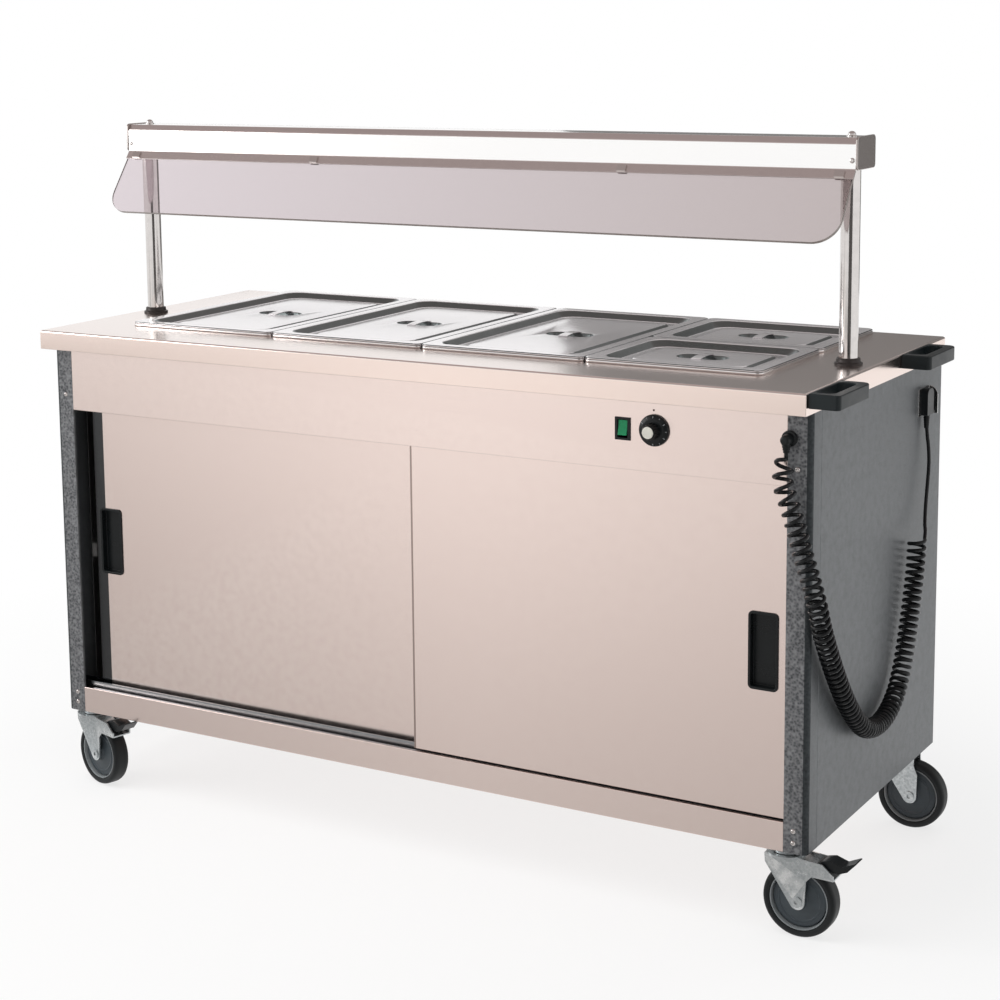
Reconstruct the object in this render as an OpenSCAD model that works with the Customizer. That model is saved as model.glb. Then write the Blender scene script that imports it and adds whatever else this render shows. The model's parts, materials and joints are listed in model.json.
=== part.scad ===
// Mobile hot cupboard: a heated cupboard with two sliding doors, a bain-marie top with
// lidded pans, a serving gantry with a glass screen, and a curled mains lead.
// Sizes are in millimetres. Every module is laid out from the left front corner of the
// worktop at floor level: x runs right along the front, y to the back and z up. The
// module place() then shifts it so that the origin is under the middle of the object.

/* [Worktop] */
// Length of the worktop
top_len = 1550; // [1520:10:1640]
// Depth of the worktop
top_dep = 670; // [660:2:690]
// Height of the worktop above the floor
top_z = 905; // [890:1:920]
// Depth of the worktop's turned-down edge
edge_h = 36; // [32:1:40]

/* [Cupboard] */
// Height of the underside of the cupboard
base_z = 145; // [145:1:150]
// Setback of the front behind the worktop's front edge
front_in = 36; // [34:1:38]
// Top of the rail under the doors
rail_top = 195; // [193:1:197]
// Underside of the control fascia
fascia_z = 748; // [744:1:750]
// Width of one sliding door
door_w = 741; // [738:1:744]
// Opening left beside the left door
door_gap = 23; // [10:1:40]

/* [Gantry] */
// Lower edge of the gantry housing's front face
gantry_z = 1232; // [1200:4:1280]
// Front of the gantry housing behind the worktop's front edge
gantry_y = 258; // [250:1:266]
// Depth of the gantry housing
gantry_d = 80; // [76:1:84]
// Fall of the glass screen
glass_fall = 112; // [90:2:120]
// Forward run of the glass screen
glass_run = 82; // [70:1:84]

/* [Pans] */
// Pitch of the pans along the well
pan_pitch = 325; // [324:1:326]
// Depth of a full pan's opening, front to back
pan_len = 530; // [528:1:530]
// Depth of the pans below the worktop
pan_deep = 98; // [60:2:100]

/* [Castors] */
// Wheel diameter
wheel_d = 125; // [123:1:126]
// Trail of the wheel behind the swivel
trail = 26; // [24:1:28]
// Swivel centre from the worktop's end
castor_in = 47; // [45:1:50]
// Swivel centre from the worktop's front or back edge
castor_y = 62; // [62:1:64]
// Angle of the left front castor as it stands
castor_turn = -15; // [-30:1:0]

/* [Hidden] */
$fn = 48;

sheet = 2;           // stainless sheet
skin = 1.2;          // pressed pans and lids
e = 1;               // overrun of a cut
under_top = top_z - edge_h;

// Whole object: the right castor's brake pedal reaches past the worktop's end
pedal_reach = 123;
pedal_out = pedal_reach - castor_in;
shift_x = -(top_len + pedal_out) / 2;
shift_y = -top_dep / 2;

// Cupboard
end_in = 3;                          // end panels inside the worktop's ends
back_y = top_dep - 8;
post_w = 41;
seam_y = front_in + post_w;          // back edge of the front posts
lip = 6;                             // hem behind a post's or a panel's inner edge
in_l = end_in + sheet;               // inner faces of the ends
in_r = top_len - in_l;
mouth_l = end_in + post_w;           // front opening between the posts
mouth_r = top_len - mouth_l;
floor_z = 188;
hem_in = 96;                         // the rail's lower hem stops short of the castors
liner_in = 30;
liner_y = 90;
liner_back = 646;
liner_top = fascia_z + 4;
shelf_z = 465;

// Doors
door_t = 18;
door_z = 198;
door_top = liner_top;
front_door_y = front_in + 7;
rear_door_y = front_door_y + 22;
right_x = in_r - 2 - door_w;
left_x = mouth_l + door_gap;
pull_w = 52;
pull_h = 130;
pull_r = 8;
pull_deep = 12;
bezel = 2.5;
groove_w = 6;
groove_h = 10;
track_y = front_in + sheet;
track_z = fascia_z + 6;
track_h = 28;
track_d = 50;
slot_w = 18;
slot_h = 22;
neck_w = 8;
neck_h = 2;

// Well and pans
well_l = 1280;
well_w = 510;
well_r = 12;
pan_x = (top_len - 4 * pan_pitch) / 2;
pan_y = 122;
well_x = (top_len - well_l) / 2;
well_y = pan_y + (pan_len - well_w) / 2;
tank_z = top_z - 130;
bar_w = 18;
bar_h = 12;
pan_gap = 1;
rim_r = 12;

// Push handles
handle_l = 140;
handle_d = 52;
handle_t = 24;
handle_r = 15;

// Gantry
post_r = 16;
post_y = gantry_y + 40;
post_in = 44;
gantry_in = 22;
hood_h = 51;
gantry_top = gantry_z + hood_h;
glass_t = 6;
glass_in = 24;
glass_len = norm([glass_run, glass_fall]);
glass_tilt = atan2(glass_fall, glass_run);
glass_r = 45;
glass_gap = 1;                       // from the hood's front face to the glass's upper edge
glass_top_y = gantry_y + (glass_t + sheet) * sin(glass_tilt) + glass_gap * cos(glass_tilt);
glass_top_z = gantry_z - (glass_t + sheet) * cos(glass_tilt) + glass_gap * sin(glass_tilt);
lip_len = 18;                        // slanted lip in front of the glass
clip_w = 17;
clip_h = 12;
clip_pin = 3;
clip_fall = 11;                      // middle of a clip below the glass's upper edge
clips = [46, 469, top_len - 440, top_len - 47];

// Controls
control_z = 818;
knob_x = 1276;
switch_x = 1219;
switch_z = 816;
rocker_y = front_in + 8;
rocker_rest = -10;

// Castors
wheel_r = wheel_d / 2;
wheel_w = 32;
hub_r = 44;
plate_z = 150;
plate_r = 8;                         // corners of a castor plate, clear of the post's bend
race_z = 140;
crown_z = race_z - 1;
crown_r = 33;
fork_in = 18;
fork_t = 3;
pin_r = 10;
axle_r = 6;
fit = 0.05;                          // radial clearance of a running fit
pedal_pin = [62, 129];
pedal_pin_r = 3;
pedal_w = 30;
rivet_r = 9;
rivet_h = 2;

// Curled mains lead
cord_r = 3.3;
curl_r = 13.9;
curl_rings = 8;
cord_sides = 6;
gland_x = 1510;
gland_y = 20;
gland_z = 806;
elbow_z = 826;
// Axis of the curls, and the pitch of the curls at each point
curl_route = [
    [1510, 20, 798, 21], [1509, 14, 786, 21], [1509, 10, 770, 21], [1512, 9, 750, 20],
    [1523, 8, 722, 19], [1533, 8, 690, 16], [1545, 8, 650, 15], [1557, 9, 612, 14],
    [1566, 14, 572, 13.5], [1568, 32, 528, 12.8], [1568, 62, 481, 12.4], [1568, 93, 438, 12],
    [1568, 126, 397, 11.8], [1568, 159, 362, 11.5], [1568, 194, 331, 11.2], [1568, 228, 308, 11],
    [1568, 262, 296, 11], [1568, 298, 291, 11], [1568, 330, 294, 11], [1568, 362, 304, 11.2],
    [1568, 392, 324, 11.5], [1568, 416, 354, 11.8], [1568, 434, 390, 12], [1568, 450, 430, 12],
    [1568, 464, 471, 12], [1568, 476, 512, 12.5], [1568, 483, 552, 13], [1568, 485, 584, 14]
];
// Plain stretch from the top of the curls to the plug's sleeve
lead_route = [
    [1575, 507, 583], [1569, 522, 592], [1565, 535, 612], [1563, 545, 636], [1562, 553, 660],
    [1561, 561, 690], [1559, 564, 718], [1557, 562, 740], [1556, 560, 757]
];
wall_x = top_len - end_in;           // outer face of the right end panel
clip_t = 1.5;
plug_x = wall_x + clip_t;
plug_y = 543;
plug_z = 781;
plug_w = 33;
plug_h = 47;
plug_t = 14;
sleeve_h = 24;
// Blades, each [offset across, height, width, thickness]
blades = [[0, 34, 4, 8], [-10, 13, 6, 4], [10, 13, 6, 4]];

module place() translate([shift_x, shift_y, 0]) children();
module along_x(len) rotate([90, 0, 90]) linear_extrude(len) children();
module along_y(len) translate([0, len, 0]) rotate([90, 0, 0]) linear_extrude(len) children();

module rounded(w, h, r) {
    translate([r, 0]) square([w - 2 * r, h]);
    translate([0, r]) square([w, h - 2 * r]);
    for (x = [r, w - r], y = [r, h - r]) translate([x, y]) circle(r);
}

// A rectangle rounded at its two upper corners
module topped(w, h, r) {
    square([w, h - r]);
    translate([r, 0]) square([w - 2 * r, h]);
    for (x = [r, w - r]) translate([x, h - r]) circle(r);
}

// A block with its four upper edges rolled over
module rolled_block(l, d, h, r) intersection() {
    along_x(l) topped(d, h, r);
    along_y(d) topped(l, h, r);
}

// One ring of a pressed shape: a rounded rectangle with n points at each corner
function ring(p, n) = [
    for (c = [0:3], k = [0:n - 1])
        let (a = 90 * (c + k / (n - 1)), sx = c == 0 || c == 3 ? 1 : -1, sy = c < 2 ? 1 : -1)
        [sx * (p[0] - p[2]) + p[2] * cos(a), sy * (p[1] - p[2]) + p[2] * sin(a), p[3]]
];

// A closed pressing through a list of rings, each [half width, half depth, corner, height]
module pressing(rings, n) {
    m = 4 * n;
    last = len(rings) - 1;
    points = [for (p = rings) each ring(p, n)];
    walls = [
        for (i = [0:last - 1], k = [0:m - 1])
            let (a = i * m + k, b = i * m + (k + 1) % m)
            each [[a, b, b + m], [a, b + m, a + m]]
    ];
    upper = [for (k = [m - 1:-1:0]) k];
    lower = [for (k = [0:m - 1]) last * m + k];
    polyhedron(points, concat(walls, [upper, lower]), convexity = 6);
}

// Worktop: one folded sheet with rolled edges, an inward flange and the well's cut-out
module worktop() color([0.78, 0.77, 0.76]) place() difference() {
    translate([0, 0, under_top]) rolled_block(top_len, top_dep, edge_h, 4);
    translate([sheet, sheet, under_top + sheet])
        rolled_block(top_len - 2 * sheet, top_dep - 2 * sheet, edge_h - 2 * sheet, 2);
    translate([mouth_l, front_in + 20, under_top - e])
        cube([mouth_r - mouth_l, top_dep - front_in - 40, edge_h / 2]);
    translate([well_x, well_y, top_z - 10]) linear_extrude(20) rounded(well_l, well_w, well_r);
}

// Front post: an angle with a rounded corner and a hem behind its inner edge
module post_profile() difference() {
    union() {
        translate([10, 0]) square([post_w - 10, post_w]);
        translate([0, 10]) square([post_w, post_w - 10]);
        translate([10, 10]) circle(10);
    }
    translate([10, sheet]) square([post_w - 10 - sheet, post_w]);
    translate([sheet, 10]) square([post_w - 2 * sheet, post_w]);
    translate([10, 10]) circle(8);
    translate([post_w - sheet - e, lip]) square([sheet + 2 * e, post_w]);
}
module front_post() translate([end_in, front_in, base_z]) difference() {
    linear_extrude(under_top - base_z) post_profile();
    translate([post_w - sheet - e, sheet, -e]) cube([sheet + 2 * e, lip, 16]);
}
module front_posts() color([0.36, 0.36, 0.37]) place() {
    front_post();
    translate([top_len, 0, 0]) mirror([1, 0, 0]) front_post();
}

// End panel behind a post, folded round the back corner
module end_panel() translate([end_in, seam_y, base_z])
    linear_extrude(under_top - base_z) {
        depth = back_y - seam_y;
        square([sheet, depth]);
        translate([0, depth - sheet]) square([post_w, sheet]);
        translate([post_w - sheet, depth - 12]) square([sheet, 12]);
    }
module left_end_panel() color([0.55, 0.55, 0.56]) place() end_panel();
module right_end_panel() color([0.55, 0.55, 0.56]) place() difference() {
    translate([top_len, 0, 0]) mirror([1, 0, 0]) end_panel();
    blade_row(0.5, 16);
}

// Control fascia: a folded channel over the doors, cut for the knob and the switch
module control_fascia() color([0.74, 0.70, 0.68]) place() difference() {
    union() {
        translate([mouth_l, front_in, fascia_z]) cube([mouth_r - mouth_l, sheet, under_top - fascia_z]);
        translate([mouth_l, front_in, fascia_z]) cube([mouth_r - mouth_l, lip, sheet]);
        translate([mouth_l, front_in, under_top - sheet]) cube([mouth_r - mouth_l, 20, sheet]);
    }
    translate([knob_x, front_in - e, control_z]) rotate([-90, 0, 0]) cylinder(r = 6, h = 4);
    translate([switch_x - 12, front_in - e, switch_z - 17]) cube([24, 4, 34]);
}

// Rear panel: a shallow tray with its edges turned in
module rear_panel() color([0.66, 0.66, 0.66]) place() difference() {
    translate([mouth_l, back_y - 12, base_z]) cube([mouth_r - mouth_l, 12, under_top - base_z]);
    translate([mouth_l + sheet, back_y - 12 - e, base_z + sheet])
        cube([mouth_r - mouth_l - 2 * sheet, 12 + e - sheet, under_top - base_z - 2 * sheet]);
}

// Base: floor sheet, folded front rail and the two channels that carry the castors
module base_tray() color([0.74, 0.70, 0.68]) place() {
    translate([mouth_l, 0, 0]) along_x(mouth_r - mouth_l) {
        translate([front_in, base_z]) square([sheet, rail_top - base_z]);
        translate([front_in, rail_top - sheet]) square([8, sheet]);
        translate([front_in + 6, floor_z - sheet]) square([sheet, rail_top - floor_z + sheet]);
    }
    translate([hem_in, front_in, base_z]) cube([top_len - 2 * hem_in, 14, sheet]);
    translate([in_l, front_in + 8, floor_z - sheet]) cube([in_r - in_l, back_y - 14 - front_in - 8, sheet]);
    for (x = [in_l, in_r - 94]) translate([x, front_in + 8, 0]) along_y(back_y - 14 - front_in - 8)
        difference() {
            translate([0, 155]) square([94, floor_z - sheet - 155]);
            translate([sheet, 155 + sheet]) square([90, floor_z - sheet - 155]);
        }
}

// Inner lining of the cupboard with a ledge for the shelf on each side
module cupboard_liner() color([0.70, 0.70, 0.70]) place() {
    len = top_len - 2 * liner_in;
    dep = liner_back - liner_y;
    high = liner_top - floor_z;
    difference() {
        translate([liner_in, liner_y, floor_z]) cube([len, dep, high]);
        translate([liner_in + sheet, liner_y - e, floor_z - e])
            cube([len - 2 * sheet, dep + e - sheet, high + e - sheet]);
    }
    for (x = [liner_in + sheet, top_len - liner_in - sheet - 14])
        translate([x, liner_y + 24, shelf_z - sheet]) cube([14, liner_back - liner_y - 50, sheet]);
}

// Middle shelf with its front and back edges turned down
module middle_shelf() color([0.72, 0.72, 0.72]) place() {
    x = liner_in + sheet + 2;
    y = liner_y + 16;
    len = top_len - 2 * x;
    dep = liner_back - sheet - 4 - y;
    translate([x, y, shelf_z]) cube([len, dep, sheet]);
    for (v = [y, y + dep - sheet]) translate([x, v, shelf_z - 24]) cube([len, sheet, 26]);
}

// Upper track: twin channel bar behind the fascia
module upper_door_track() color([0.60, 0.61, 0.63]) place()
    translate([mouth_l, 0, 0]) along_x(mouth_r - mouth_l) difference() {
        translate([track_y, track_z]) square([track_d, track_h]);
        for (y = [front_door_y, rear_door_y]) {
            translate([y, track_z + neck_h]) square([slot_w, slot_h]);
            translate([y + (door_t - neck_w) / 2, track_z - e]) square([neck_w, neck_h + 2 * e]);
        }
    }

// Lower track: a strip with one guide fin in each door's groove
module lower_door_track() color([0.72, 0.74, 0.78]) place()
    translate([in_l, 0, 0]) along_x(in_r - in_l) {
        translate([front_door_y + 3, floor_z]) square([34, 1.5]);
        for (y = [front_door_y, rear_door_y])
            translate([y + (door_t - sheet) / 2, floor_z]) square([sheet, 17]);
    }

// Well tank: an open trough hung under the worktop's cut-out
module well_tank() color([0.68, 0.68, 0.68]) place() difference() {
    union() {
        translate([well_x - sheet, well_y - sheet, tank_z]) linear_extrude(top_z - sheet - tank_z)
            rounded(well_l + 2 * sheet, well_w + 2 * sheet, well_r + sheet);
        translate([well_x - 14, well_y - 14, top_z - 2 * sheet]) linear_extrude(sheet)
            rounded(well_l + 28, well_w + 28, well_r + 14);
    }
    translate([well_x, well_y, tank_z + sheet]) linear_extrude(top_z - tank_z)
        rounded(well_l, well_w, well_r);
}

// Bars across the well that carry the pans' rims where they meet
module pan_support_bars() color([0.75, 0.75, 0.74]) place() {
    for (i = [1:3]) translate([pan_x + i * pan_pitch - bar_w / 2, well_y, top_z - bar_h])
        cube([bar_w, well_w, bar_h]);
    x = pan_x + 3 * pan_pitch + bar_w / 2;
    translate([x, well_y + well_w / 2 - bar_w / 2, top_z - bar_h])
        cube([well_x + well_l - x, bar_w, bar_h]);
}

// A sheathed element: straight runs joined by half-round bends, fixed by flat clips
module element(runs, len, pitch, r, clip_h) {
    for (i = [0:runs - 1]) translate([0, i * pitch, 0]) rotate([0, 90, 0]) cylinder(r = r, h = len);
    for (i = [0:runs - 2]) translate([i % 2 == 0 ? len : 0, (i + 0.5) * pitch, 0])
        rotate([0, 0, i % 2 == 0 ? -90 : 90]) rotate_extrude(angle = 180) translate([pitch / 2, 0]) circle(r);
    for (x = [len * 0.2, len * 0.8]) translate([x, -r, min(0, clip_h)])
        cube([4, (runs - 1) * pitch + 2 * r, abs(clip_h)]);
}
module well_heater() color([0.30, 0.29, 0.29]) place()
    translate([well_x + 120, well_y + 105, tank_z - 8]) element(4, well_l - 240, 100, 4, 8);
module cupboard_heater() color([0.30, 0.29, 0.29]) place()
    translate([240, liner_back - 90, floor_z + 12]) element(2, top_len - 480, 50, 4, -12);

// Thermostat behind the fascia, with the bush that the knob's spindle turns in
module thermostat_body() color([0.85, 0.84, 0.80]) place() difference() {
    union() {
        translate([knob_x - 22, front_in + 10, control_z - 18]) cube([44, 30, 36]);
        translate([knob_x, front_in - 0.5, control_z]) rotate([-90, 0, 0]) cylinder(r = 5.5, h = 12);
        translate([knob_x - 14, front_in + sheet, control_z - 10]) cube([28, 9, 20]);
    }
    translate([knob_x, front_in - e, control_z]) rotate([-90, 0, 0]) cylinder(r = 3 + fit, h = 30);
}

// Switch housing: a bezel, an open box and the pin that the rocker turns on
module switch_housing() color([0.08, 0.08, 0.08]) place() {
    difference() {
        union() {
            translate([switch_x - 14, front_in - 2, switch_z - 19]) cube([28, 2, 38]);
            translate([switch_x - 12, front_in, switch_z - 17]) cube([24, 24, 34]);
        }
        translate([switch_x - 9, front_in - 2 - e, switch_z - 15]) cube([18, 20, 30]);
    }
    translate([switch_x - 9.5, rocker_y, switch_z]) rotate([0, 90, 0]) cylinder(r = 1.5, h = 19);
}

// Push handles: two flat loops on the right-hand edge of the worktop, flush with its top
module handle_loop() difference() {
    union() {
        square([handle_d - handle_r, handle_l]);
        translate([0, 8]) square([handle_d, handle_l - 8 - handle_r]);
        square([handle_d - 8, handle_l / 2]);
        translate([handle_d - 8, 8]) circle(8);
        translate([handle_d - handle_r, handle_l - handle_r]) circle(handle_r);
    }
    translate([4, 16]) rounded(handle_d - 20, handle_l - 32, 12);
}
module push_handles() color([0.09, 0.09, 0.10]) place()
    for (y = [6, top_dep - 96 - handle_l]) translate([top_len, y, top_z - handle_t])
        linear_extrude(handle_t) handle_loop();

// Gantry: two tubular posts, a folded housing with lamps under it, and its end caps
module gantry_posts() color([0.45, 0.45, 0.46]) place()
    for (x = [post_in, top_len - post_in]) translate([x, post_y, top_z + 4]) difference() {
        cylinder(r = post_r, h = gantry_top - sheet - top_z - 4);
        translate([0, 0, 20]) cylinder(r = post_r - sheet, h = gantry_top - top_z);
    }
module post_fixings() color([0.60, 0.60, 0.60]) place()
    for (x = [post_in, top_len - post_in]) {
        translate([x, post_y, top_z]) cylinder(r = 24, h = 4);
        translate([x, post_y, top_z + 4]) difference() {
            cylinder(r = 20, h = 8);
            translate([0, 0, -e]) cylinder(r = post_r, h = 10);
        }
        translate([x, post_y, gantry_top]) cylinder(r = 9, h = 2);
        translate([x, post_y, gantry_top + 2]) rotate_extrude() intersection() {
            circle(7);
            square(7);
        }
    }

// Gantry housing: a folded hood with a slanted lip at the front and a hem at the back
module hood_shape(t) polygon([
    [t, -2 * t], [t, hood_h - 10], [8 + t / 2, hood_h - t],
    [gantry_d - 8 - t / 2, hood_h - t], [gantry_d - t, hood_h - 10], [gantry_d - t, -2 * t]
]);
module gantry_housing() color([0.80, 0.79, 0.78]) place() difference() {
    translate([gantry_in, gantry_y, gantry_z]) along_x(top_len - 2 * gantry_in) {
        difference() {
            hood_shape(0);
            hood_shape(sheet);
        }
        rotate(glass_tilt) translate([-lip_len, -sheet]) square([lip_len + 1.5, sheet]);
        translate([gantry_d - sheet, 0]) square([sheet + 7, sheet]);
    }
    for (x = clips) on_clip(x) translate([0, 0, -e]) cylinder(r = clip_pin + 0.4, h = 20);
}
module gantry_end_caps() color([0.42, 0.42, 0.43]) place()
    for (x = [gantry_in - 4, top_len - gantry_in])
        translate([x, gantry_y - 2, gantry_z - 2]) along_x(4) rounded(gantry_d + 4, hood_h + 4, 8);

// Three quartz lamps under the housing, each in a ceramic holder at both ends
lamp_len = 380;
lamp_x = [for (i = [0:2]) (top_len - 3 * lamp_len) / 4 * (i + 1) + lamp_len * i];
module heat_lamps() color([0.85, 0.82, 0.78]) place()
    for (x = lamp_x) translate([x, post_y, gantry_z + 5]) rotate([0, 90, 0]) cylinder(r = 5, h = lamp_len);
module lamp_holders() color([0.88, 0.87, 0.84]) place()
    for (x = lamp_x, s = [0, 1])
        translate([x + s * (lamp_len + 14) - 14, post_y - 10, gantry_z - 3])
            cube([14, 20, hood_h + 3 - sheet]);

// Glass screen behind the gantry's lip, held by four clips through both
module on_glass(x) translate([x, glass_top_y, glass_top_z]) rotate([glass_tilt, 0, 0]) children();
module on_clip(x) on_glass(x) translate([0, -clip_fall, 0]) children();
module glass_screen() color([0.70, 0.78, 0.80, 0.4]) place() difference() {
    on_glass(glass_in) linear_extrude(glass_t) translate([0, -glass_len]) {
        w = top_len - 2 * glass_in;
        translate([glass_r, 0]) square([w - 2 * glass_r, glass_len]);
        translate([0, glass_r]) square([w, glass_len - glass_r]);
        for (x = [glass_r, w - glass_r]) translate([x, glass_r]) circle(glass_r);
    }
    for (x = clips) on_clip(x) translate([0, 0, -e]) cylinder(r = clip_pin + 0.4, h = glass_t + 2 * e);
}
module glass_clips() color([0.52, 0.50, 0.48]) place() for (x = clips) on_clip(x) {
    translate([-clip_w / 2, -clip_h / 2, glass_t + sheet]) cube([clip_w, clip_h, 3]);
    translate([-clip_w / 2, -clip_h / 2, -3]) cube([clip_w, clip_h, 3]);
    translate([0, 0, -e]) cylinder(r = clip_pin, h = glass_t + sheet + 2 * e);
}

// Elbow gland on the right front post, its tapered sleeve pointing down
module cord_gland() color([0.10, 0.10, 0.10]) place() {
    translate([gland_x, front_in, elbow_z]) rotate([90, 0, 0]) cylinder(r = 13, h = 5);
    translate([gland_x, front_in - 4, elbow_z]) rotate([90, 0, 0])
        cylinder(r = 9, h = front_in - 4 - gland_y);
    translate([gland_x, gland_y, elbow_z]) sphere(r = 9);
    translate([gland_x, gland_y, gland_z]) cylinder(r1 = 5, r2 = 9, h = elbow_z - gland_z);
}

// Smooth curve through a list of points, with m steps from each to the next
function smooth(p, m) = [
    for (i = [0:len(p) - 2], k = [0:m - 1])
        let (a = p[max(i - 1, 0)], b = p[i], c = p[i + 1], d = p[min(i + 2, len(p) - 1)], t = k / m)
        0.5 * (2 * b + (c - a) * t + (2 * a - 5 * b + 4 * c - d) * t * t + (3 * b - a - 3 * c + d) * t * t * t),
    p[len(p) - 1]
];
function place_of(p) = [p[0], p[1], p[2]];
function unit(v) = v / norm(v);
function ease(t) = t < 0 ? 0 : t > 1 ? 1 : t * t * (3 - 2 * t);

// Turns of the curl reached at each point of the axis: the sum of step over pitch
axis = smooth(curl_route, 6);
turns = [
    for (i = 0, n = 0; i < len(axis); i = i + 1,
        n = n + (i < len(axis) ? norm(place_of(axis[i]) - place_of(axis[i - 1])) / axis[i][3] : 0)) n
];
turn_table = [for (i = [0:len(axis) - 1]) [turns[i], i]];
all_turns = turns[len(turns) - 1];
curl_count = floor(all_turns * curl_rings);
lead_in = 0.5;                       // turns over which the first curl opens
// The last curl ends a ring past its outermost side, heading for the plain stretch
last_ring = floor((curl_count - 3) / curl_rings) * curl_rings + 1;

// A point on the curl k rings along: the axis frame keeps one side to the front
function curl_point(k) =
    let (
        n = k / curl_rings, f = lookup(n, turn_table), i = min(floor(f), len(axis) - 2),
        a = place_of(axis[i]), b = place_of(axis[i + 1]), t = unit(b - a),
        side = unit([1, 0, 0] - t[0] * t), up = cross(t, side),
        r = curl_r * ease(n / lead_in), q = 360 * n
    )
    a + (b - a) * (f - i) + r * (cos(q) * side + sin(q) * up);

cord_path = concat(
    [[gland_x, gland_y, gland_z], [gland_x, gland_y, curl_route[0][2] + 3]],
    [for (k = [1:last_ring]) curl_point(k)],
    smooth(lead_route, 2)
);

// A tube through a list of points, its sides carried along without twist
module tube(path, r, sides) {
    last = len(path) - 1;
    way = [for (i = [0:last]) unit(path[min(i + 1, last)] - path[max(i - 1, 0)])];
    flats = [
        for (i = 0, v = unit(cross(way[0], [0, 1, 0])); i <= last; i = i + 1,
            v = i <= last ? unit(v - (v * way[i]) * way[i]) : v) v
    ];
    points = [
        for (i = [0:last], k = [0:sides - 1])
            let (a = 360 * k / sides)
            path[i] + r * (cos(a) * flats[i] + sin(a) * cross(way[i], flats[i]))
    ];
    walls = [
        for (i = [0:last - 1], k = [0:sides - 1])
            let (a = i * sides + k, b = i * sides + (k + 1) % sides)
            each [[a, a + sides, b + sides], [a, b + sides, b]]
    ];
    start = [for (k = [0:sides - 1]) k];
    finish = [for (k = [sides - 1:-1:0]) last * sides + k];
    polyhedron(points, concat(walls, [start, finish]), convexity = 10);
}

// Least distance between stretches of the lead that are not next to each other
function least_gap(path) = min([
    for (i = [0:len(path) - 7], j = [i + 5:min(i + 60, len(path) - 1)]) norm(path[i] - path[j])
]) - 2 * cord_r;
function path_len(path) = [
    for (i = 0, n = 0; i < len(path); i = i + 1, n = n + (i < len(path) ? norm(path[i] - path[i - 1]) : 0)) n
][len(path) - 1];

module mains_cord() {
    echo(curls = all_turns, rings = len(cord_path), least_gap = least_gap(cord_path),
        length = path_len(cord_path), lowest = min([for (p = cord_path) p[2]]) - cord_r);
    color([0.07, 0.07, 0.08]) place() tube(cord_path, cord_r, cord_sides);
}

// Plug: a flat body with a rounded top, a tapered sleeve and three blades into the panel
module blade_row(grow, len) for (p = blades)
    translate([plug_x - len, plug_y + (plug_w - p[2]) / 2 + p[0] - grow, plug_z + p[1] - p[3] / 2 - grow])
        cube([len, p[2] + 2 * grow, p[3] + 2 * grow]);
module mains_plug() color([0.08, 0.08, 0.09]) place() {
    translate([plug_x, plug_y, plug_z]) along_x(plug_t) {
        translate([0, 4]) square([plug_w, plug_h - 16]);
        translate([4, 0]) square([plug_w - 8, 8]);
        for (y = [4, plug_w - 4]) translate([y, 4]) circle(4);
        translate([12, 0]) square([plug_w - 24, plug_h]);
        for (y = [12, plug_w - 12]) translate([y, plug_h - 12]) circle(12);
    }
    translate([plug_x + plug_t / 2, plug_y + plug_w / 2, plug_z - sleeve_h])
        cylinder(r1 = 4, r2 = 5.5, h = sleeve_h + 2);
    translate([e, 0, 0]) blade_row(0, 17);
}

// Plug holder: a slotted plate on the end panel, with a rounded cheek behind the plug
module plug_holder() color([0.80, 0.79, 0.77]) place() {
    difference() {
        translate([wall_x, plug_y - 6, plug_z - 2]) cube([clip_t, plug_w + 22, plug_h + 2]);
        translate([e, 0, 0]) blade_row(0.5, 5);
    }
    translate([wall_x, plug_y + plug_w + 14, plug_z - 2]) along_y(clip_t) {
        square([1, plug_h + 2]);
        square([18, plug_h - 15]);
        intersection() {
            square([18, plug_h + 2]);
            translate([1, plug_h - 15]) circle(17);
        }
    }
}

// Screws: pan heads on the posts' fronts and on the ends of the gantry's face
screw_z = [777, 183, 163];
module pan_head() rotate([90, 0, 0]) rotate_extrude() intersection() {
    square([4.5, 2.4]);
    translate([0, -3.4]) circle(5.8);
}
module panel_screws() color([0.70, 0.70, 0.70]) place() {
    for (x = [27, top_len - 27], z = screw_z) translate([x, front_in, z]) pan_head();
    for (x = [gantry_in + 6, top_len - gantry_in - 6]) translate([x, gantry_y, gantry_z + 14]) pan_head();
}

// Castor plates: a plate and a ball race, bored for the fork's king pin
module castor_at(side, row, turn = 0) translate([
    side > 0 ? top_len - castor_in : castor_in, row > 0 ? top_dep - castor_y : castor_y, 0
]) rotate([0, 0, turn]) children();
module castor_plates() color([0.66, 0.68, 0.69]) place()
    for (side = [-1, 1], row = [-1, 1]) castor_at(side, row) difference() {
        union() {
            translate([-40, -24, plate_z]) linear_extrude(5) rounded(80, 48, plate_r);
            translate([0, 0, race_z]) cylinder(r = 23, h = plate_z - race_z);
        }
        translate([0, 0, race_z - e]) cylinder(r = pin_r + fit, h = 20);
        for (x = [-32, 32], y = [-17, 17]) translate([x, y, plate_z - e]) cylinder(r = 4.2, h = 8);
    }

// Sliding door: a folded leaf, open inside, with an opening for the pull and a slot along
// its lower edge for the guide fin
module door(x, y, pull_x, pull_z) difference() {
    translate([x, y, door_z]) cube([door_w, door_t, door_top - door_z]);
    translate([x + skin, y + skin, door_z + sheet])
        cube([door_w - 2 * skin, door_t - 2 * skin, door_top - door_z - 2 * sheet]);
    translate([x + pull_x, y - e, pull_z]) along_y(skin + 2 * e) rounded(pull_w - 6, pull_h - 6, pull_r - 3);
    translate([x - e, y + (door_t - groove_w) / 2, door_z - e])
        cube([door_w + 2 * e, groove_w, groove_h + e]);
}

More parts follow.
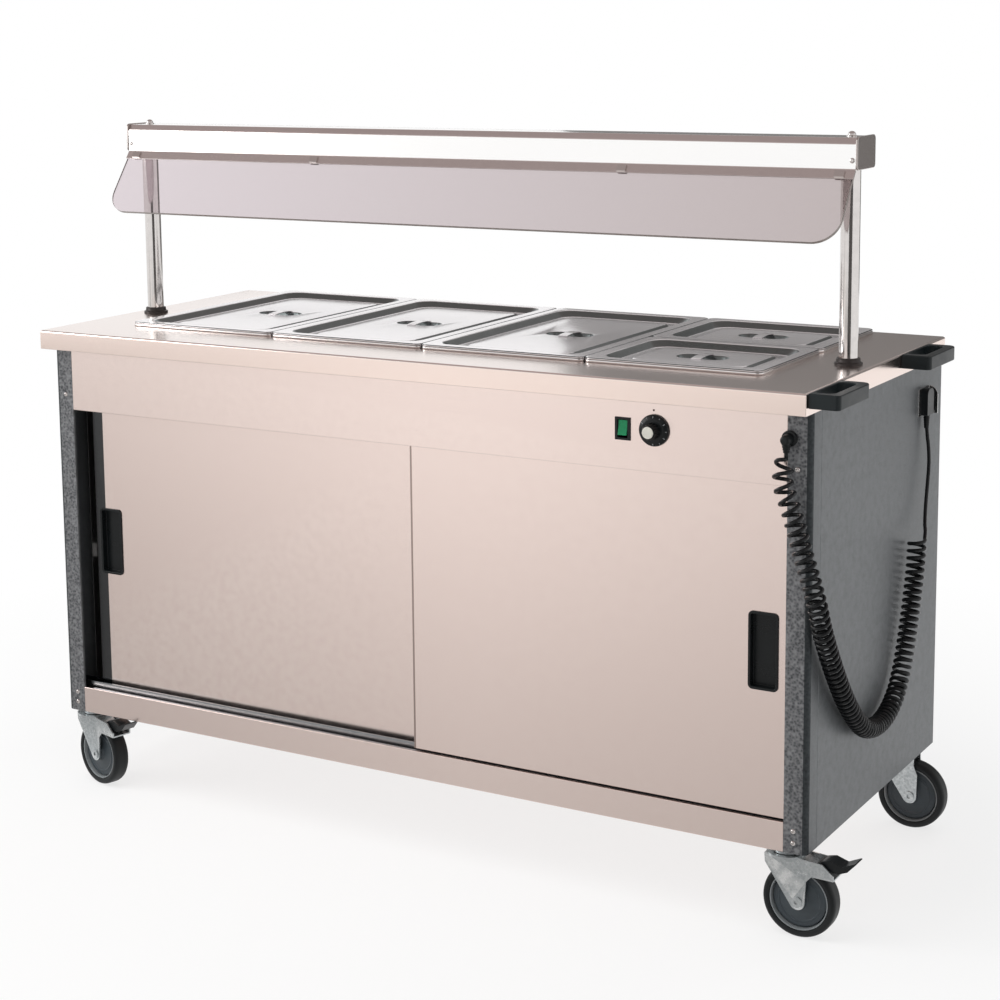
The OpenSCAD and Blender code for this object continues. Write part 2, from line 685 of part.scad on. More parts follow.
// Recessed pull: a bezel with a cup behind it
module door_pull(x, y, pull_x, pull_z) translate([x + pull_x, y, pull_z]) difference() {
    union() {
        translate([-3, -bezel, -3]) along_y(bezel) rounded(pull_w, pull_h, pull_r);
        along_y(pull_deep) rounded(pull_w - 6, pull_h - 6, pull_r - 3);
    }
    translate([1.5, -bezel - e, 1.5]) along_y(pull_deep + bezel + e - 1.5)
        rounded(pull_w - 9, pull_h - 9, pull_r - 4.5);
}

// Runners: two nylon blocks in the upper track, each on a neck from the door's top edge
module door_runners(x, y) for (u = [x + 60, x + door_w - 100]) {
    translate([u, y + door_t / 2 - 3, door_top]) cube([40, 6, track_z + neck_h + 1 - door_top]);
    translate([u - 5, y + 1, track_z + neck_h + 0.5]) cube([50, door_t - 2, 16]);
}
left_pull = [11, 427];
right_pull = [door_w - 100, 411];
module left_door() color([0.76, 0.71, 0.69]) place()
    door(left_x, rear_door_y, left_pull[0] + 3, left_pull[1]);
module left_door_pull() color([0.08, 0.08, 0.08]) place()
    door_pull(left_x, rear_door_y, left_pull[0] + 3, left_pull[1]);
module left_door_runners() color([0.90, 0.89, 0.86]) place() door_runners(left_x, rear_door_y);
module right_door() color([0.76, 0.71, 0.69]) place()
    door(right_x, front_door_y, right_pull[0], right_pull[1]);
module right_door_pull() color([0.08, 0.08, 0.08]) place()
    door_pull(right_x, front_door_y, right_pull[0], right_pull[1]);
module right_door_runners() color([0.90, 0.89, 0.86]) place() door_runners(right_x, front_door_y);

// Rocker: a wedge with a convex back, bored for its pin
module rocker_switch() color([0.10, 0.55, 0.25]) place()
    translate([switch_x - 8, rocker_y, switch_z]) rotate([rocker_rest, 0, 0]) along_x(16) difference() {
        polygon([[-10, -12.5], [-8.6, 0], [-10, 12.5], [3, 8], [5, 0], [3, -8]]);
        circle(1.5 + fit);
    }

// Knob: a skirted dial with a slim fluted grip and a cap, on its spindle
grip_r = 13;
module thermostat_knob() color([0.07, 0.07, 0.07]) place() translate([knob_x, front_in, control_z])
    rotate([90, 0, 0]) difference() {
        union() {
            translate([0, 0, 1]) cylinder(r = 26.5, h = 4);
            translate([0, 0, 5]) cylinder(r1 = 25, r2 = 19, h = 3);
            translate([0, 0, 8]) cylinder(r1 = grip_r + 0.8, r2 = grip_r - 0.6, h = 18);
            translate([0, 0, 26]) cylinder(r = 10, h = 1.2);
            translate([0, 0, -24]) cylinder(r = 3, h = 26);
        }
        for (a = [0:30:330]) rotate([0, 0, a + 15]) translate([grip_r + 1, 0, 9]) cylinder(r = 2, h = 20);
    }

// Pan: rim with a turned-down lip, tapering walls and a rounded floor, one wall thick
module pan(cx, cy, l) {
    a = (pan_pitch - pan_gap) / 2;
    b = (l - pan_gap) / 2;
    d = pan_deep;
    translate([cx, cy, top_z]) pressing([
        for (p = [
            [28, 29, skin - d], [23.2, 33, 6 - d], [14.2, 37, 0], [12.2, 38, 5],
            [1, rim_r, 5], [0, rim_r, 4], [0, rim_r, 0.1],
            [skin, rim_r, 0.1], [skin, rim_r, 3.8],
            [11, 39, 3.8], [13, 38, 0], [22, 34, 5.5 - d], [27, 30, -d]
        ]) [a - p[0], b - p[0], p[1], p[2]]
    ], 4);
}

// Lid: rim, sunk panel with a raised middle and a finger pocket under a strap
module lid(cx, cy, l) {
    a = (pan_pitch - pan_gap) / 2;
    b = (l - pan_gap) / 2;
    pocket = [46, 22];
    top = [
        [pocket[0] - 4, pocket[1] - 4, 18, -9], [pocket[0], pocket[1], 22, 1.5],
        [a - 58, b - 58, 24, 1.5], [a - 52, b - 52, 26, -2.5], [a - 34, b - 34, 30, -2.5],
        [a - 22, b - 22, 30, 8.8], [a - 2, b - 2, 14, 8.8], [a, b, 14, 7.6], [a, b, 14, 5.2]
    ];
    under = [
        [a - skin, b - skin, 13, 5.2], [a - skin, b - skin, 13, 7.2], [a - 21.4, b - 21.4, 29, 7.6],
        [a - 33.2, b - 33.2, 31, -3.7], [a - 52.8, b - 52.8, 25, -3.7], [a - 58.8, b - 58.8, 23, 0.3],
        [pocket[0] + skin, pocket[1] + skin, 23, 0.3], [pocket[0] - 3, pocket[1] - 3, 19, -10.2]
    ];
    translate([cx, cy, top_z]) {
        pressing(concat(top, under), 5);
        translate([-9, -pocket[1] - 8, 1]) cube([18, 2 * pocket[1] + 16, 2]);
    }
}
function pan_cx(i) = pan_x + (i + 0.5) * pan_pitch;
mid_y = pan_y + pan_len / 2;
half = pan_len / 2;
module pan_1() color([0.72, 0.72, 0.71]) place() pan(pan_cx(0), mid_y, pan_len);
module pan_2() color([0.72, 0.72, 0.71]) place() pan(pan_cx(1), mid_y, pan_len);
module pan_3() color([0.72, 0.72, 0.71]) place() pan(pan_cx(2), mid_y, pan_len);
module half_pan_rear() color([0.72, 0.72, 0.71]) place() pan(pan_cx(3), mid_y + half / 2, half);
module half_pan_front() color([0.72, 0.72, 0.71]) place() pan(pan_cx(3), mid_y - half / 2, half);
module lid_1() color([0.80, 0.79, 0.78]) place() lid(pan_cx(0), mid_y, pan_len);
module lid_2() color([0.80, 0.79, 0.78]) place() lid(pan_cx(1), mid_y, pan_len);
module lid_3() color([0.80, 0.79, 0.78]) place() lid(pan_cx(2), mid_y, pan_len);
module half_lid_rear() color([0.80, 0.79, 0.78]) place() lid(pan_cx(3), mid_y + half / 2, half);
module half_lid_front() color([0.80, 0.79, 0.78]) place() lid(pan_cx(3), mid_y - half / 2, half);

// Where a line from p touches a circle of radius r about c, on the given side
function touch(p, c, r, side) =
    let (v = p - c, a = atan2(v[1], v[0]) + side * acos(r / norm(v))) c + r * [cos(a), sin(a)];

// Fork cheek, seen from the side: tapered to a round eye, with a wing over a braked wheel
module cheek(braked) {
    eye = [trail, wheel_r];
    eye_r = 13;
    wing = braked
        ? [[33, crown_z - 2], [68, 134], [87, 118], [87, 109], [50, 110], [41, 100]]
        : [[33, crown_z - 2], [33, 122], [40, 104]];
    outer = wing[len(wing) - 1];
    polygon(concat([[-31, crown_z - 2], [-30, 122], touch([-30, 122], eye, eye_r, 1), eye,
        touch(outer, eye, eye_r, -1)], [for (i = [len(wing) - 1:-1:0]) wing[i]]));
    translate(eye) circle(eye_r);
}

// Axle: a tubular rivet with a flat head and an open bore at each end
module axle(half_len) translate([trail, half_len, wheel_r]) rotate([90, 0, 0]) difference() {
    union() {
        cylinder(r = axle_r, h = 2 * half_len);
        for (z = [0, 2 * half_len - rivet_h]) translate([0, 0, z]) cylinder(r = rivet_r, h = rivet_h);
    }
    for (z = [-e, 2 * half_len - 6]) translate([0, 0, z]) cylinder(r = 3.8, h = 6 + e);
}

// Castor fork: king pin, crown, two cheeks and the wheel's axle
module fork(braked) {
    translate([0, 0, crown_z - 4]) cylinder(r = crown_r, h = 4);
    translate([0, 0, crown_z - 2]) cylinder(r = pin_r, h = 155 - crown_z + 1);
    translate([-30, -fork_in - fork_t, crown_z - 4]) cube([63, 2 * (fork_in + fork_t), 3]);
    for (y = [-fork_in - fork_t, fork_in]) translate([0, y, 0]) along_y(fork_t) cheek(braked);
    axle(fork_in + fork_t + rivet_h);
    if (braked) {
        translate([0, -fork_in - e, 0]) along_y(2 * fork_in + 2 * e)
            polygon([[32, 136], [50, 126.5], [62, 119.5], [87, 111],
                [87, 108.5], [61, 117], [49, 123.8], [30, 134]]);
        translate([pedal_pin[0], fork_in + 1, pedal_pin[1]]) rotate([90, 0, 0])
            cylinder(r = pedal_pin_r, h = 2 * fork_in + 2);
    }
}

// Wheel: one turned profile of tyre, rim, web and hub, bored for the axle
module wheel() translate([trail, 0, wheel_r]) rotate([90, 0, 0]) rotate_extrude() difference() {
    union() {
        translate([axle_r + fit, -16.5]) square([9, 33]);
        translate([axle_r + fit + 5, -5]) square([wheel_r - 20, 10]);
        translate([hub_r - 8, -13]) square([10, 26]);
        translate([hub_r - 2, -16]) square([wheel_r - hub_r - 4, 32]);
        translate([hub_r, -10]) square([wheel_r - hub_r, 20]);
        for (y = [-10, 10]) translate([wheel_r - 6, y]) circle(6);
    }
    for (y = [-16, 16]) translate([hub_r + 1, y]) circle(1.2);
}

// Brake pedal on its pin above the wheel
module pedal() translate([0, -pedal_w / 2, 0]) difference() {
    union() {
        along_y(pedal_w) polygon([[61, 133], [66, 138], [80, 141], [100, 134.5], [121, 144],
            [pedal_reach, 143], [108, 127], [92, 120.5], [76, 124], [61, 125]]);
        along_y(pedal_w) translate(pedal_pin) circle(6);
    }
    translate([0, -e, 0]) along_y(pedal_w + 2 * e) translate(pedal_pin) circle(pedal_pin_r + fit);
}
zinc = [0.70, 0.73, 0.74];
black = [0.06, 0.06, 0.07];
module castor_fork_left_front() color(zinc) place() castor_at(-1, -1, castor_turn) fork(true);
module castor_fork_right_front() color(zinc) place() castor_at(1, -1) fork(true);
module castor_fork_left_rear() color(zinc) place() castor_at(-1, 1) fork(false);
module castor_fork_right_rear() color(zinc) place() castor_at(1, 1) fork(false);
module castor_wheel_left_front() color(black) place() castor_at(-1, -1, castor_turn) wheel();
module castor_wheel_right_front() color(black) place() castor_at(1, -1) wheel();
module castor_wheel_left_rear() color(black) place() castor_at(-1, 1) wheel();
module castor_wheel_right_rear() color(black) place() castor_at(1, 1) wheel();
module brake_lever_left() color(black) place() castor_at(-1, -1, castor_turn) pedal();
module brake_lever_right() color(black) place() castor_at(1, -1) pedal();

worktop();
front_posts();
left_end_panel();
right_end_panel();
control_fascia();
rear_panel();
base_tray();
cupboard_liner();
middle_shelf();
upper_door_track();
lower_door_track();
well_tank();
pan_support_bars();
well_heater();
cupboard_heater();
thermostat_body();
switch_housing();
push_handles();
gantry_posts();
post_fixings();
gantry_housing();
gantry_end_caps();
heat_lamps();
lamp_holders();
glass_screen();
glass_clips();
cord_gland();
mains_cord();
mains_plug();
plug_holder();
panel_screws();
castor_plates();
left_door();
left_door_pull();
left_door_runners();
right_door();
right_door_pull();
right_door_runners();
rocker_switch();
thermostat_knob();
pan_1();
pan_2();
pan_3();
half_pan_rear();
half_pan_front();
lid_1();
lid_2();
lid_3();
half_lid_rear();
half_lid_front();
castor_fork_left_front();
castor_fork_right_front();
castor_fork_left_rear();
castor_fork_right_rear();
castor_wheel_left_front();
castor_wheel_right_front();
castor_wheel_left_rear();
castor_wheel_right_rear();
brake_lever_left();
brake_lever_right();
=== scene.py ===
# Looks of a mobile hot cupboard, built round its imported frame.
# Lengths are in metres. Places are given from the worktop's left front corner, at the floor.
import json
import math

import bmesh
import bpy
from mathutils import Matrix, Vector


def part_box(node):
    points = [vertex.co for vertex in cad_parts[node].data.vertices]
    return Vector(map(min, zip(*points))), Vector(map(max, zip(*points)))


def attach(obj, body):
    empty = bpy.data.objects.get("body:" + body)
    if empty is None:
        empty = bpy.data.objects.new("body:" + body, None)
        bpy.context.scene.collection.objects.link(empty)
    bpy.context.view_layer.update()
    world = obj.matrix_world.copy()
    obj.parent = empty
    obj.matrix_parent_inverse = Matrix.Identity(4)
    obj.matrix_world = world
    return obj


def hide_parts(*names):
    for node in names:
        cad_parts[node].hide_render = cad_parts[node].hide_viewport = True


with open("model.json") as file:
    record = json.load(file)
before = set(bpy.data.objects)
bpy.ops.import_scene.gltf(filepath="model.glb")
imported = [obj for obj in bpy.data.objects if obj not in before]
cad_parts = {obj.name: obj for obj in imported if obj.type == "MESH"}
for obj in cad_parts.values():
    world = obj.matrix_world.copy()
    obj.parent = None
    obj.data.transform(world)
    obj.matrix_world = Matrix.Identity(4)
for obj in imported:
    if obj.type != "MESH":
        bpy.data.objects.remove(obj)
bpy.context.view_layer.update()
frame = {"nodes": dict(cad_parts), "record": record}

scene = bpy.context.scene
corner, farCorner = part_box("worktop")
topLength = farCorner.x - corner.x
topHeight = farCorner.z


def at(u, v, z):
    return Vector((corner.x + u, corner.y + v, z))


def rotation(degrees, axis):
    return Matrix.Rotation(math.radians(degrees), 4, axis)


# Camera, from the corners of the photograph
print("camera")
cameraView = {
    "place": (1.9385, -3.3964, 1.4858),
    "pitch": 8.8451,  # degrees below the level
    "turn": 31.4571,  # degrees round the upright axis
    "roll": -0.7929,  # degrees about the line of sight
    "lens": 77.109,  # millimetres, as the sensor is
    "sensor": 36.0,
    "shiftX": 0.0672,
    "shiftY": -0.15,
}


def makeCamera(view):
    data = bpy.data.cameras.new("camera")
    data.sensor_width = view["sensor"]
    data.lens = view["lens"]
    data.shift_x = view["shiftX"]
    data.shift_y = view["shiftY"]
    camera = bpy.data.objects.new("camera", data)
    turn = (rotation(view["turn"], "Z") @ rotation(90 - view["pitch"], "X")
            @ rotation(view["roll"], "Z"))
    camera.matrix_world = Matrix.Translation(view["place"]) @ turn
    scene.collection.objects.link(camera)
    scene.camera = camera


makeCamera(cameraView)

# Curled mains lead: the same route as the solid it stands for
print("mains lead")
lead = {
    "radius": 0.0033,
    "curlRadius": 0.0139,
    "curlSteps": 18,
    "axisSteps": 6,
    "leadSteps": 6,
    "roundSteps": 3,
    "leadIn": 0.5,  # turns over which the first curl opens
    "spareTurns": 0.375,  # turns left free at the end of the curls' axis
    "lastTurn": 0.125,  # share of a turn past its outermost side at which the last curl ends
    "exit": (1.51, 0.02, 0.806),
}
# Each point of the curls' axis, with the pitch of the curls there
curlRoute = [
    (1.51, 0.02, 0.798, 0.021), (1.509, 0.014, 0.786, 0.021), (1.509, 0.01, 0.77, 0.021),
    (1.512, 0.009, 0.75, 0.02), (1.523, 0.008, 0.722, 0.019), (1.533, 0.008, 0.69, 0.016),
    (1.545, 0.008, 0.65, 0.015), (1.557, 0.009, 0.612, 0.014), (1.566, 0.014, 0.572, 0.0135),
    (1.568, 0.032, 0.528, 0.0128), (1.568, 0.062, 0.481, 0.0124), (1.568, 0.093, 0.438, 0.012),
    (1.568, 0.126, 0.397, 0.0118), (1.568, 0.159, 0.362, 0.0115), (1.568, 0.194, 0.331, 0.0112),
    (1.568, 0.228, 0.308, 0.011), (1.568, 0.262, 0.296, 0.011), (1.568, 0.298, 0.291, 0.011),
    (1.568, 0.33, 0.294, 0.011), (1.568, 0.362, 0.304, 0.0112), (1.568, 0.392, 0.324, 0.0115),
    (1.568, 0.416, 0.354, 0.0118), (1.568, 0.434, 0.39, 0.012), (1.568, 0.45, 0.43, 0.012),
    (1.568, 0.464, 0.471, 0.012), (1.568, 0.476, 0.512, 0.0125), (1.568, 0.483, 0.552, 0.013),
    (1.568, 0.485, 0.584, 0.014),
]
# Plain stretch from the top of the curls to the plug's sleeve
leadRoute = [
    (1.575, 0.507, 0.583), (1.569, 0.522, 0.592), (1.565, 0.535, 0.612), (1.563, 0.545, 0.636),
    (1.562, 0.553, 0.66), (1.561, 0.561, 0.69), (1.559, 0.564, 0.718), (1.557, 0.562, 0.74),
    (1.556, 0.56, 0.757),
]


def smoothLine(points, steps):
    line = []
    last = len(points) - 1
    for i in range(last):
        a, b = points[max(i - 1, 0)], points[i]
        c, d = points[i + 1], points[min(i + 2, last)]
        for k in range(steps):
            t = k / steps
            line.append(tuple(
                0.5 * (2 * q + (r - p) * t + (2 * p - 5 * q + 4 * r - s) * t ** 2
                       + (3 * q - p - 3 * r + s) * t ** 3)
                for p, q, r, s in zip(a, b, c, d)
            ))
    line.append(tuple(points[last]))
    return line


def ease(t):
    t = min(max(t, 0.0), 1.0)
    return t * t * (3 - 2 * t)


def leadPath():
    axis = smoothLine(curlRoute, lead["axisSteps"])
    places = [Vector(p[:3]) for p in axis]
    turns = [0.0]
    for i in range(1, len(axis)):
        turns.append(turns[-1] + (places[i] - places[i - 1]).length / axis[i][3])
    lastTurn = math.floor(turns[-1] - lead["spareTurns"]) + lead["lastTurn"]
    curls = []
    i = 0
    for k in range(1, math.floor(lastTurn * lead["curlSteps"]) + 1):
        n = k / lead["curlSteps"]
        while turns[i + 1] < n:
            i += 1
        share = (n - turns[i]) / (turns[i + 1] - turns[i])
        along = (places[i + 1] - places[i]).normalized()
        side = (Vector((1, 0, 0)) - along.x * along).normalized()
        up = along.cross(side)
        radius = lead["curlRadius"] * ease(n / lead["leadIn"])
        angle = 2 * math.pi * n
        centre = places[i].lerp(places[i + 1], share)
        curls.append(centre + radius * (math.cos(angle) * side + math.sin(angle) * up))
    start = Vector(lead["exit"])
    rest = smoothLine([tuple(curls[-2]), tuple(curls[-1])] + leadRoute, lead["leadSteps"])
    path = [start, start.lerp(curls[0], 0.5)] + curls
    path += [Vector(p) for p in rest[lead["leadSteps"] + 1:]]
    return [at(*p) for p in path]


def makeLead():
    path = leadPath()
    curve = bpy.data.curves.new("mainsLead", "CURVE")
    curve.dimensions = "3D"
    curve.bevel_depth = lead["radius"]
    curve.bevel_resolution = lead["roundSteps"]
    curve.use_fill_caps = True
    spline = curve.splines.new("POLY")
    spline.points.add(len(path) - 1)
    for point, place in zip(spline.points, path):
        point.co = (*place, 1)
    spline.use_smooth = True
    piece = bpy.data.objects.new("mainsLead", curve)
    scene.collection.objects.link(piece)
    length = sum((b - a).length for a, b in zip(path, path[1:]))
    print("  lead length", round(length, 3))
    return piece, length


mainsLead, leadLength = makeLead()

# Shader node groups shared by the materials
print("node groups")


def newGroup(name, inputs, outputs):
    group = bpy.data.node_groups.new(name, "ShaderNodeTree")
    for label, kind, value in inputs:
        socket = group.interface.new_socket(label, in_out="INPUT", socket_type=kind)
        socket.default_value = value
    for label, kind in outputs:
        group.interface.new_socket(label, in_out="OUTPUT", socket_type=kind)
    return group, group.nodes.new("NodeGroupInput"), group.nodes.new("NodeGroupOutput")


# A socket takes another node's output, a colour or a number
def feed(tree, socket, value):
    if isinstance(value, bpy.types.NodeSocket):
        tree.links.new(value, socket)
    elif isinstance(value, tuple):
        socket.default_value = (*value, 1)
    else:
        socket.default_value = value


def mathNode(tree, operation, a, b):
    node = tree.nodes.new("ShaderNodeMath")
    node.operation = operation
    for socket, value in zip(node.inputs, (a, b)):
        feed(tree, socket, value)
    return node.outputs[0]


# Two values in shares that add up to one
def weighted(tree, a, b, share):
    first = mathNode(tree, "MULTIPLY", a, 1.0 - share)
    return mathNode(tree, "ADD", first, mathNode(tree, "MULTIPLY", b, share))


def mapRange(tree, value, low, high, newLow=0.0, newHigh=1.0):
    node = tree.nodes.new("ShaderNodeMapRange")
    ends = {"From Min": low, "From Max": high, "To Min": newLow, "To Max": newHigh}
    for label, number in ends.items():
        feed(tree, node.inputs[label], number)
    tree.links.new(value, node.inputs["Value"])
    return node.outputs["Result"]


def noiseNode(tree, vector, scale, detail=3.0, roughness=0.55):
    node = tree.nodes.new("ShaderNodeTexNoise")
    node.inputs["Detail"].default_value = detail
    node.inputs["Roughness"].default_value = roughness
    feed(tree, node.inputs["Scale"], scale)
    tree.links.new(vector, node.inputs["Vector"])
    return node.outputs["Fac"]


def coordsOf(tree, kind="Object"):
    return tree.nodes.new("ShaderNodeTexCoord").outputs[kind]


def axesOf(tree, kind="Object"):
    split = tree.nodes.new("ShaderNodeSeparateXYZ")
    tree.links.new(coordsOf(tree, kind), split.inputs["Vector"])
    return split.outputs


# Fine parallel lines left by the abrasive belt, stretched along one direction
def brushGroup():
    group, start, end = newGroup(
        "brushedGrain",
        [("Stretch", "NodeSocketVector", (6, 900, 900)), ("Contrast", "NodeSocketFloat", 0.5)],
        [("Tone", "NodeSocketFloat"), ("Height", "NodeSocketFloat")],
    )
    mapping = group.nodes.new("ShaderNodeMapping")
    group.links.new(coordsOf(group), mapping.inputs["Vector"])
    group.links.new(start.outputs["Stretch"], mapping.inputs["Scale"])
    lines = noiseNode(group, mapping.outputs["Vector"], 1.0, detail=4.0, roughness=0.75)
    half = mathNode(group, "MULTIPLY", start.outputs["Contrast"], 0.5)
    low = mathNode(group, "SUBTRACT", 0.5, half)
    high = mathNode(group, "ADD", 0.5, half)
    group.links.new(mapRange(group, lines, 0.25, 0.75, low, high), end.inputs["Tone"])
    group.links.new(lines, end.inputs["Height"])
    return group


# Broad soft marks from wiping and handling
def smearGroup():
    group, start, end = newGroup(
        "wipedSmears", [("Scale", "NodeSocketFloat", 4.0)], [("Mask", "NodeSocketFloat")]
    )
    mapping = group.nodes.new("ShaderNodeMapping")
    mapping.inputs["Scale"].default_value = (0.6, 1.0, 1.7)
    group.links.new(coordsOf(group), mapping.inputs["Vector"])
    broad = noiseNode(group, mapping.outputs["Vector"], start.outputs["Scale"], roughness=0.6)
    fineScale = mathNode(group, "MULTIPLY", start.outputs["Scale"], 9.0)
    fine = noiseNode(group, mapping.outputs["Vector"], fineScale, detail=4.0, roughness=0.65)
    mixed = weighted(group, broad, fine, 0.3)
    group.links.new(mapRange(group, mixed, 0.35, 0.65), end.inputs["Mask"])
    return group


# Dimples and specks of a textured coating
def speckleGroup():
    group, start, end = newGroup(
        "speckledCoat",
        [("Scale", "NodeSocketFloat", 400.0)],
        [("Speck", "NodeSocketFloat"), ("Height", "NodeSocketFloat")],
    )
    coords = coordsOf(group)
    cells = group.nodes.new("ShaderNodeTexVoronoi")
    cells.feature = "SMOOTH_F1"
    cells.inputs["Randomness"].default_value = 1.0
    group.links.new(coords, cells.inputs["Vector"])
    group.links.new(start.outputs["Scale"], cells.inputs["Scale"])
    grainScale = mathNode(group, "MULTIPLY", start.outputs["Scale"], 0.7)
    grain = noiseNode(group, coords, grainScale, roughness=0.7)
    dimple = mapRange(group, cells.outputs["Distance"], 0.1, 0.75)
    mixed = weighted(group, dimple, grain, 0.55)
    group.links.new(mapRange(group, mixed, 0.3, 0.7), end.inputs["Speck"])
    group.links.new(mixed, end.inputs["Height"])
    return group


# Edges rubbed brighter: a mask from how sharply the surface turns
def wearGroup():
    group, start, end = newGroup(
        "rubbedEdges", [("Amount", "NodeSocketFloat", 0.5)], [("Mask", "NodeSocketFloat")]
    )
    geometry = group.nodes.new("ShaderNodeNewGeometry")
    broken = noiseNode(group, coordsOf(group), 60.0, roughness=0.6)
    turn = mapRange(group, geometry.outputs["Pointiness"], 0.52, 0.6)
    mask = mathNode(group, "MULTIPLY", turn, mapRange(group, broken, 0.3, 0.6))
    group.links.new(mathNode(group, "MULTIPLY", mask, start.outputs["Amount"]), end.inputs["Mask"])
    return group


groups = {
    "brush": brushGroup(),
    "smear": smearGroup(),
    "speckle": speckleGroup(),
    "wear": wearGroup(),
}

# Materials
print("materials")


def placeGroup(tree, name, **values):
    node = tree.nodes.new("ShaderNodeGroup")
    node.node_tree = groups[name]
    for label, value in values.items():
        node.inputs[label].default_value = value
    return node.outputs


def mixColour(tree, share, a, b):
    node = tree.nodes.new("ShaderNodeMix")
    node.data_type = "RGBA"
    feed(tree, node.inputs["Factor"], share)
    for label, value in (("A", a), ("B", b)):
        feed(tree, [s for s in node.inputs if s.name == label and s.type == "RGBA"][0], value)
    return [s for s in node.outputs if s.type == "RGBA"][0]


def scaled(colour, times, plus=0.0):
    return tuple(min(1.0, c * times + plus) for c in colour)


def bump(tree, height, strength, distance):
    node = tree.nodes.new("ShaderNodeBump")
    node.inputs["Strength"].default_value = strength
    node.inputs["Distance"].default_value = distance
    tree.links.new(height, node.inputs["Height"])
    return node.outputs["Normal"]


def newMaterial(name):
    material = bpy.data.materials.new(name)
    material.use_nodes = True
    tree = material.node_tree
    return material, tree, tree.nodes["Principled BSDF"].inputs


# What the finishes of one kind share: size of the smears, share of rubbed edges and how much
# lighter they are, how far the smears cloud the coat or darken the moulding, depth of the relief
brushedLook = {"smears": 2.2, "lighter": 1.12, "depth": 0.0003}
coatedLook = {"smears": 5.0, "rubbed": 0.6, "lighter": 1.8, "clouding": 0.15, "depth": 0.0008}
mouldedLook = {"smears": 9.0, "rubbed": 0.35, "lighter": 1.6, "lift": 0.012, "darker": 0.75,
               "specular": 0.28, "depth": 0.0002}
clearLook = {"smears": 6.0, "rougher": 0.02, "ior": 1.5}


def brushedSteel(name, light, dark, stretch=(4, 1500, 1500), rough=(0.2, 0.3), contrast=0.3,
                 relief=0.006, smears=0.12, rubbed=0.4, metallic=1.0):
    material, tree, shader = newMaterial(name)
    grain = placeGroup(tree, "brush", Stretch=stretch, Contrast=contrast)
    smear = placeGroup(tree, "smear", Scale=brushedLook["smears"])
    wear = placeGroup(tree, "wear", Amount=rubbed)
    tone = weighted(tree, grain["Tone"], smear["Mask"], smears)
    colour = mixColour(tree, tone, dark, light)
    bright = scaled(light, brushedLook["lighter"])
    tree.links.new(mixColour(tree, wear["Mask"], colour, bright), shader["Base Color"])
    tree.links.new(mapRange(tree, tone, 0.2, 0.8, rough[1], rough[0]), shader["Roughness"])
    tree.links.new(bump(tree, grain["Height"], relief, brushedLook["depth"]), shader["Normal"])
    shader["Metallic"].default_value = metallic
    return material


def coatedSteel(name, light, dark, scale, rough, relief, metallic=0.35):
    material, tree, shader = newMaterial(name)
    coat = placeGroup(tree, "speckle", Scale=scale)
    smear = placeGroup(tree, "smear", Scale=coatedLook["smears"])
    wear = placeGroup(tree, "wear", Amount=coatedLook["rubbed"])
    speck = mixColour(tree, coat["Speck"], dark, light)
    dulled = tuple(0.5 * (a + b) for a, b in zip(light, dark))
    clouds = mathNode(tree, "MULTIPLY", smear["Mask"], coatedLook["clouding"])
    cloudy = mixColour(tree, clouds, speck, dulled)
    bright = scaled(light, coatedLook["lighter"])
    tree.links.new(mixColour(tree, wear["Mask"], cloudy, bright), shader["Base Color"])
    tree.links.new(mapRange(tree, coat["Speck"], 0.0, 1.0, rough[1], rough[0]), shader["Roughness"])
    tree.links.new(bump(tree, coat["Height"], relief, coatedLook["depth"]), shader["Normal"])
    shader["Metallic"].default_value = metallic
    return material


def moulding(name, colour, rough, scale=900.0, relief=0.12, metallic=0.0, coat=0.0):
    material, tree, shader = newMaterial(name)
    skin = placeGroup(tree, "speckle", Scale=scale)
    smear = placeGroup(tree, "smear", Scale=mouldedLook["smears"])
    wear = placeGroup(tree, "wear", Amount=mouldedLook["rubbed"])
    deep = scaled(colour, mouldedLook["darker"])
    scuffed = scaled(colour, mouldedLook["lighter"], mouldedLook["lift"])
    base = mixColour(tree, smear["Mask"], deep, colour)
    tree.links.new(mixColour(tree, wear["Mask"], base, scuffed), shader["Base Color"])
    tree.links.new(mapRange(tree, smear["Mask"], 0.0, 1.0, rough[0], rough[1]), shader["Roughness"])
    tree.links.new(bump(tree, skin["Height"], relief, mouldedLook["depth"]), shader["Normal"])
    shader["Metallic"].default_value = metallic
    shader["Specular IOR Level"].default_value = mouldedLook["specular"]
    shader["Coat Weight"].default_value = coat
    return material


# The tint may run from one colour at the left end of a pane to another at its right end: a painted
# reflection, lighter towards the left
def clearGlass(name, tint, rough, paintedReflectionRightTint=None, reach=0.79):
    material, tree, shader = newMaterial(name)
    smear = placeGroup(tree, "smear", Scale=clearLook["smears"])
    rougher = rough + clearLook["rougher"]
    tree.links.new(mapRange(tree, smear["Mask"], 0.0, 1.0, rough, rougher), shader["Roughness"])
    shader["Base Color"].default_value = (*tint, 1)
    if paintedReflectionRightTint:
        along = mapRange(tree, axesOf(tree)["X"], -reach, reach)
        tree.links.new(mixColour(tree, along, tint, paintedReflectionRightTint), shader["Base Color"])
    shader["Transmission Weight"].default_value = 1.0
    shader["IOR"].default_value = clearLook["ior"]
    return material


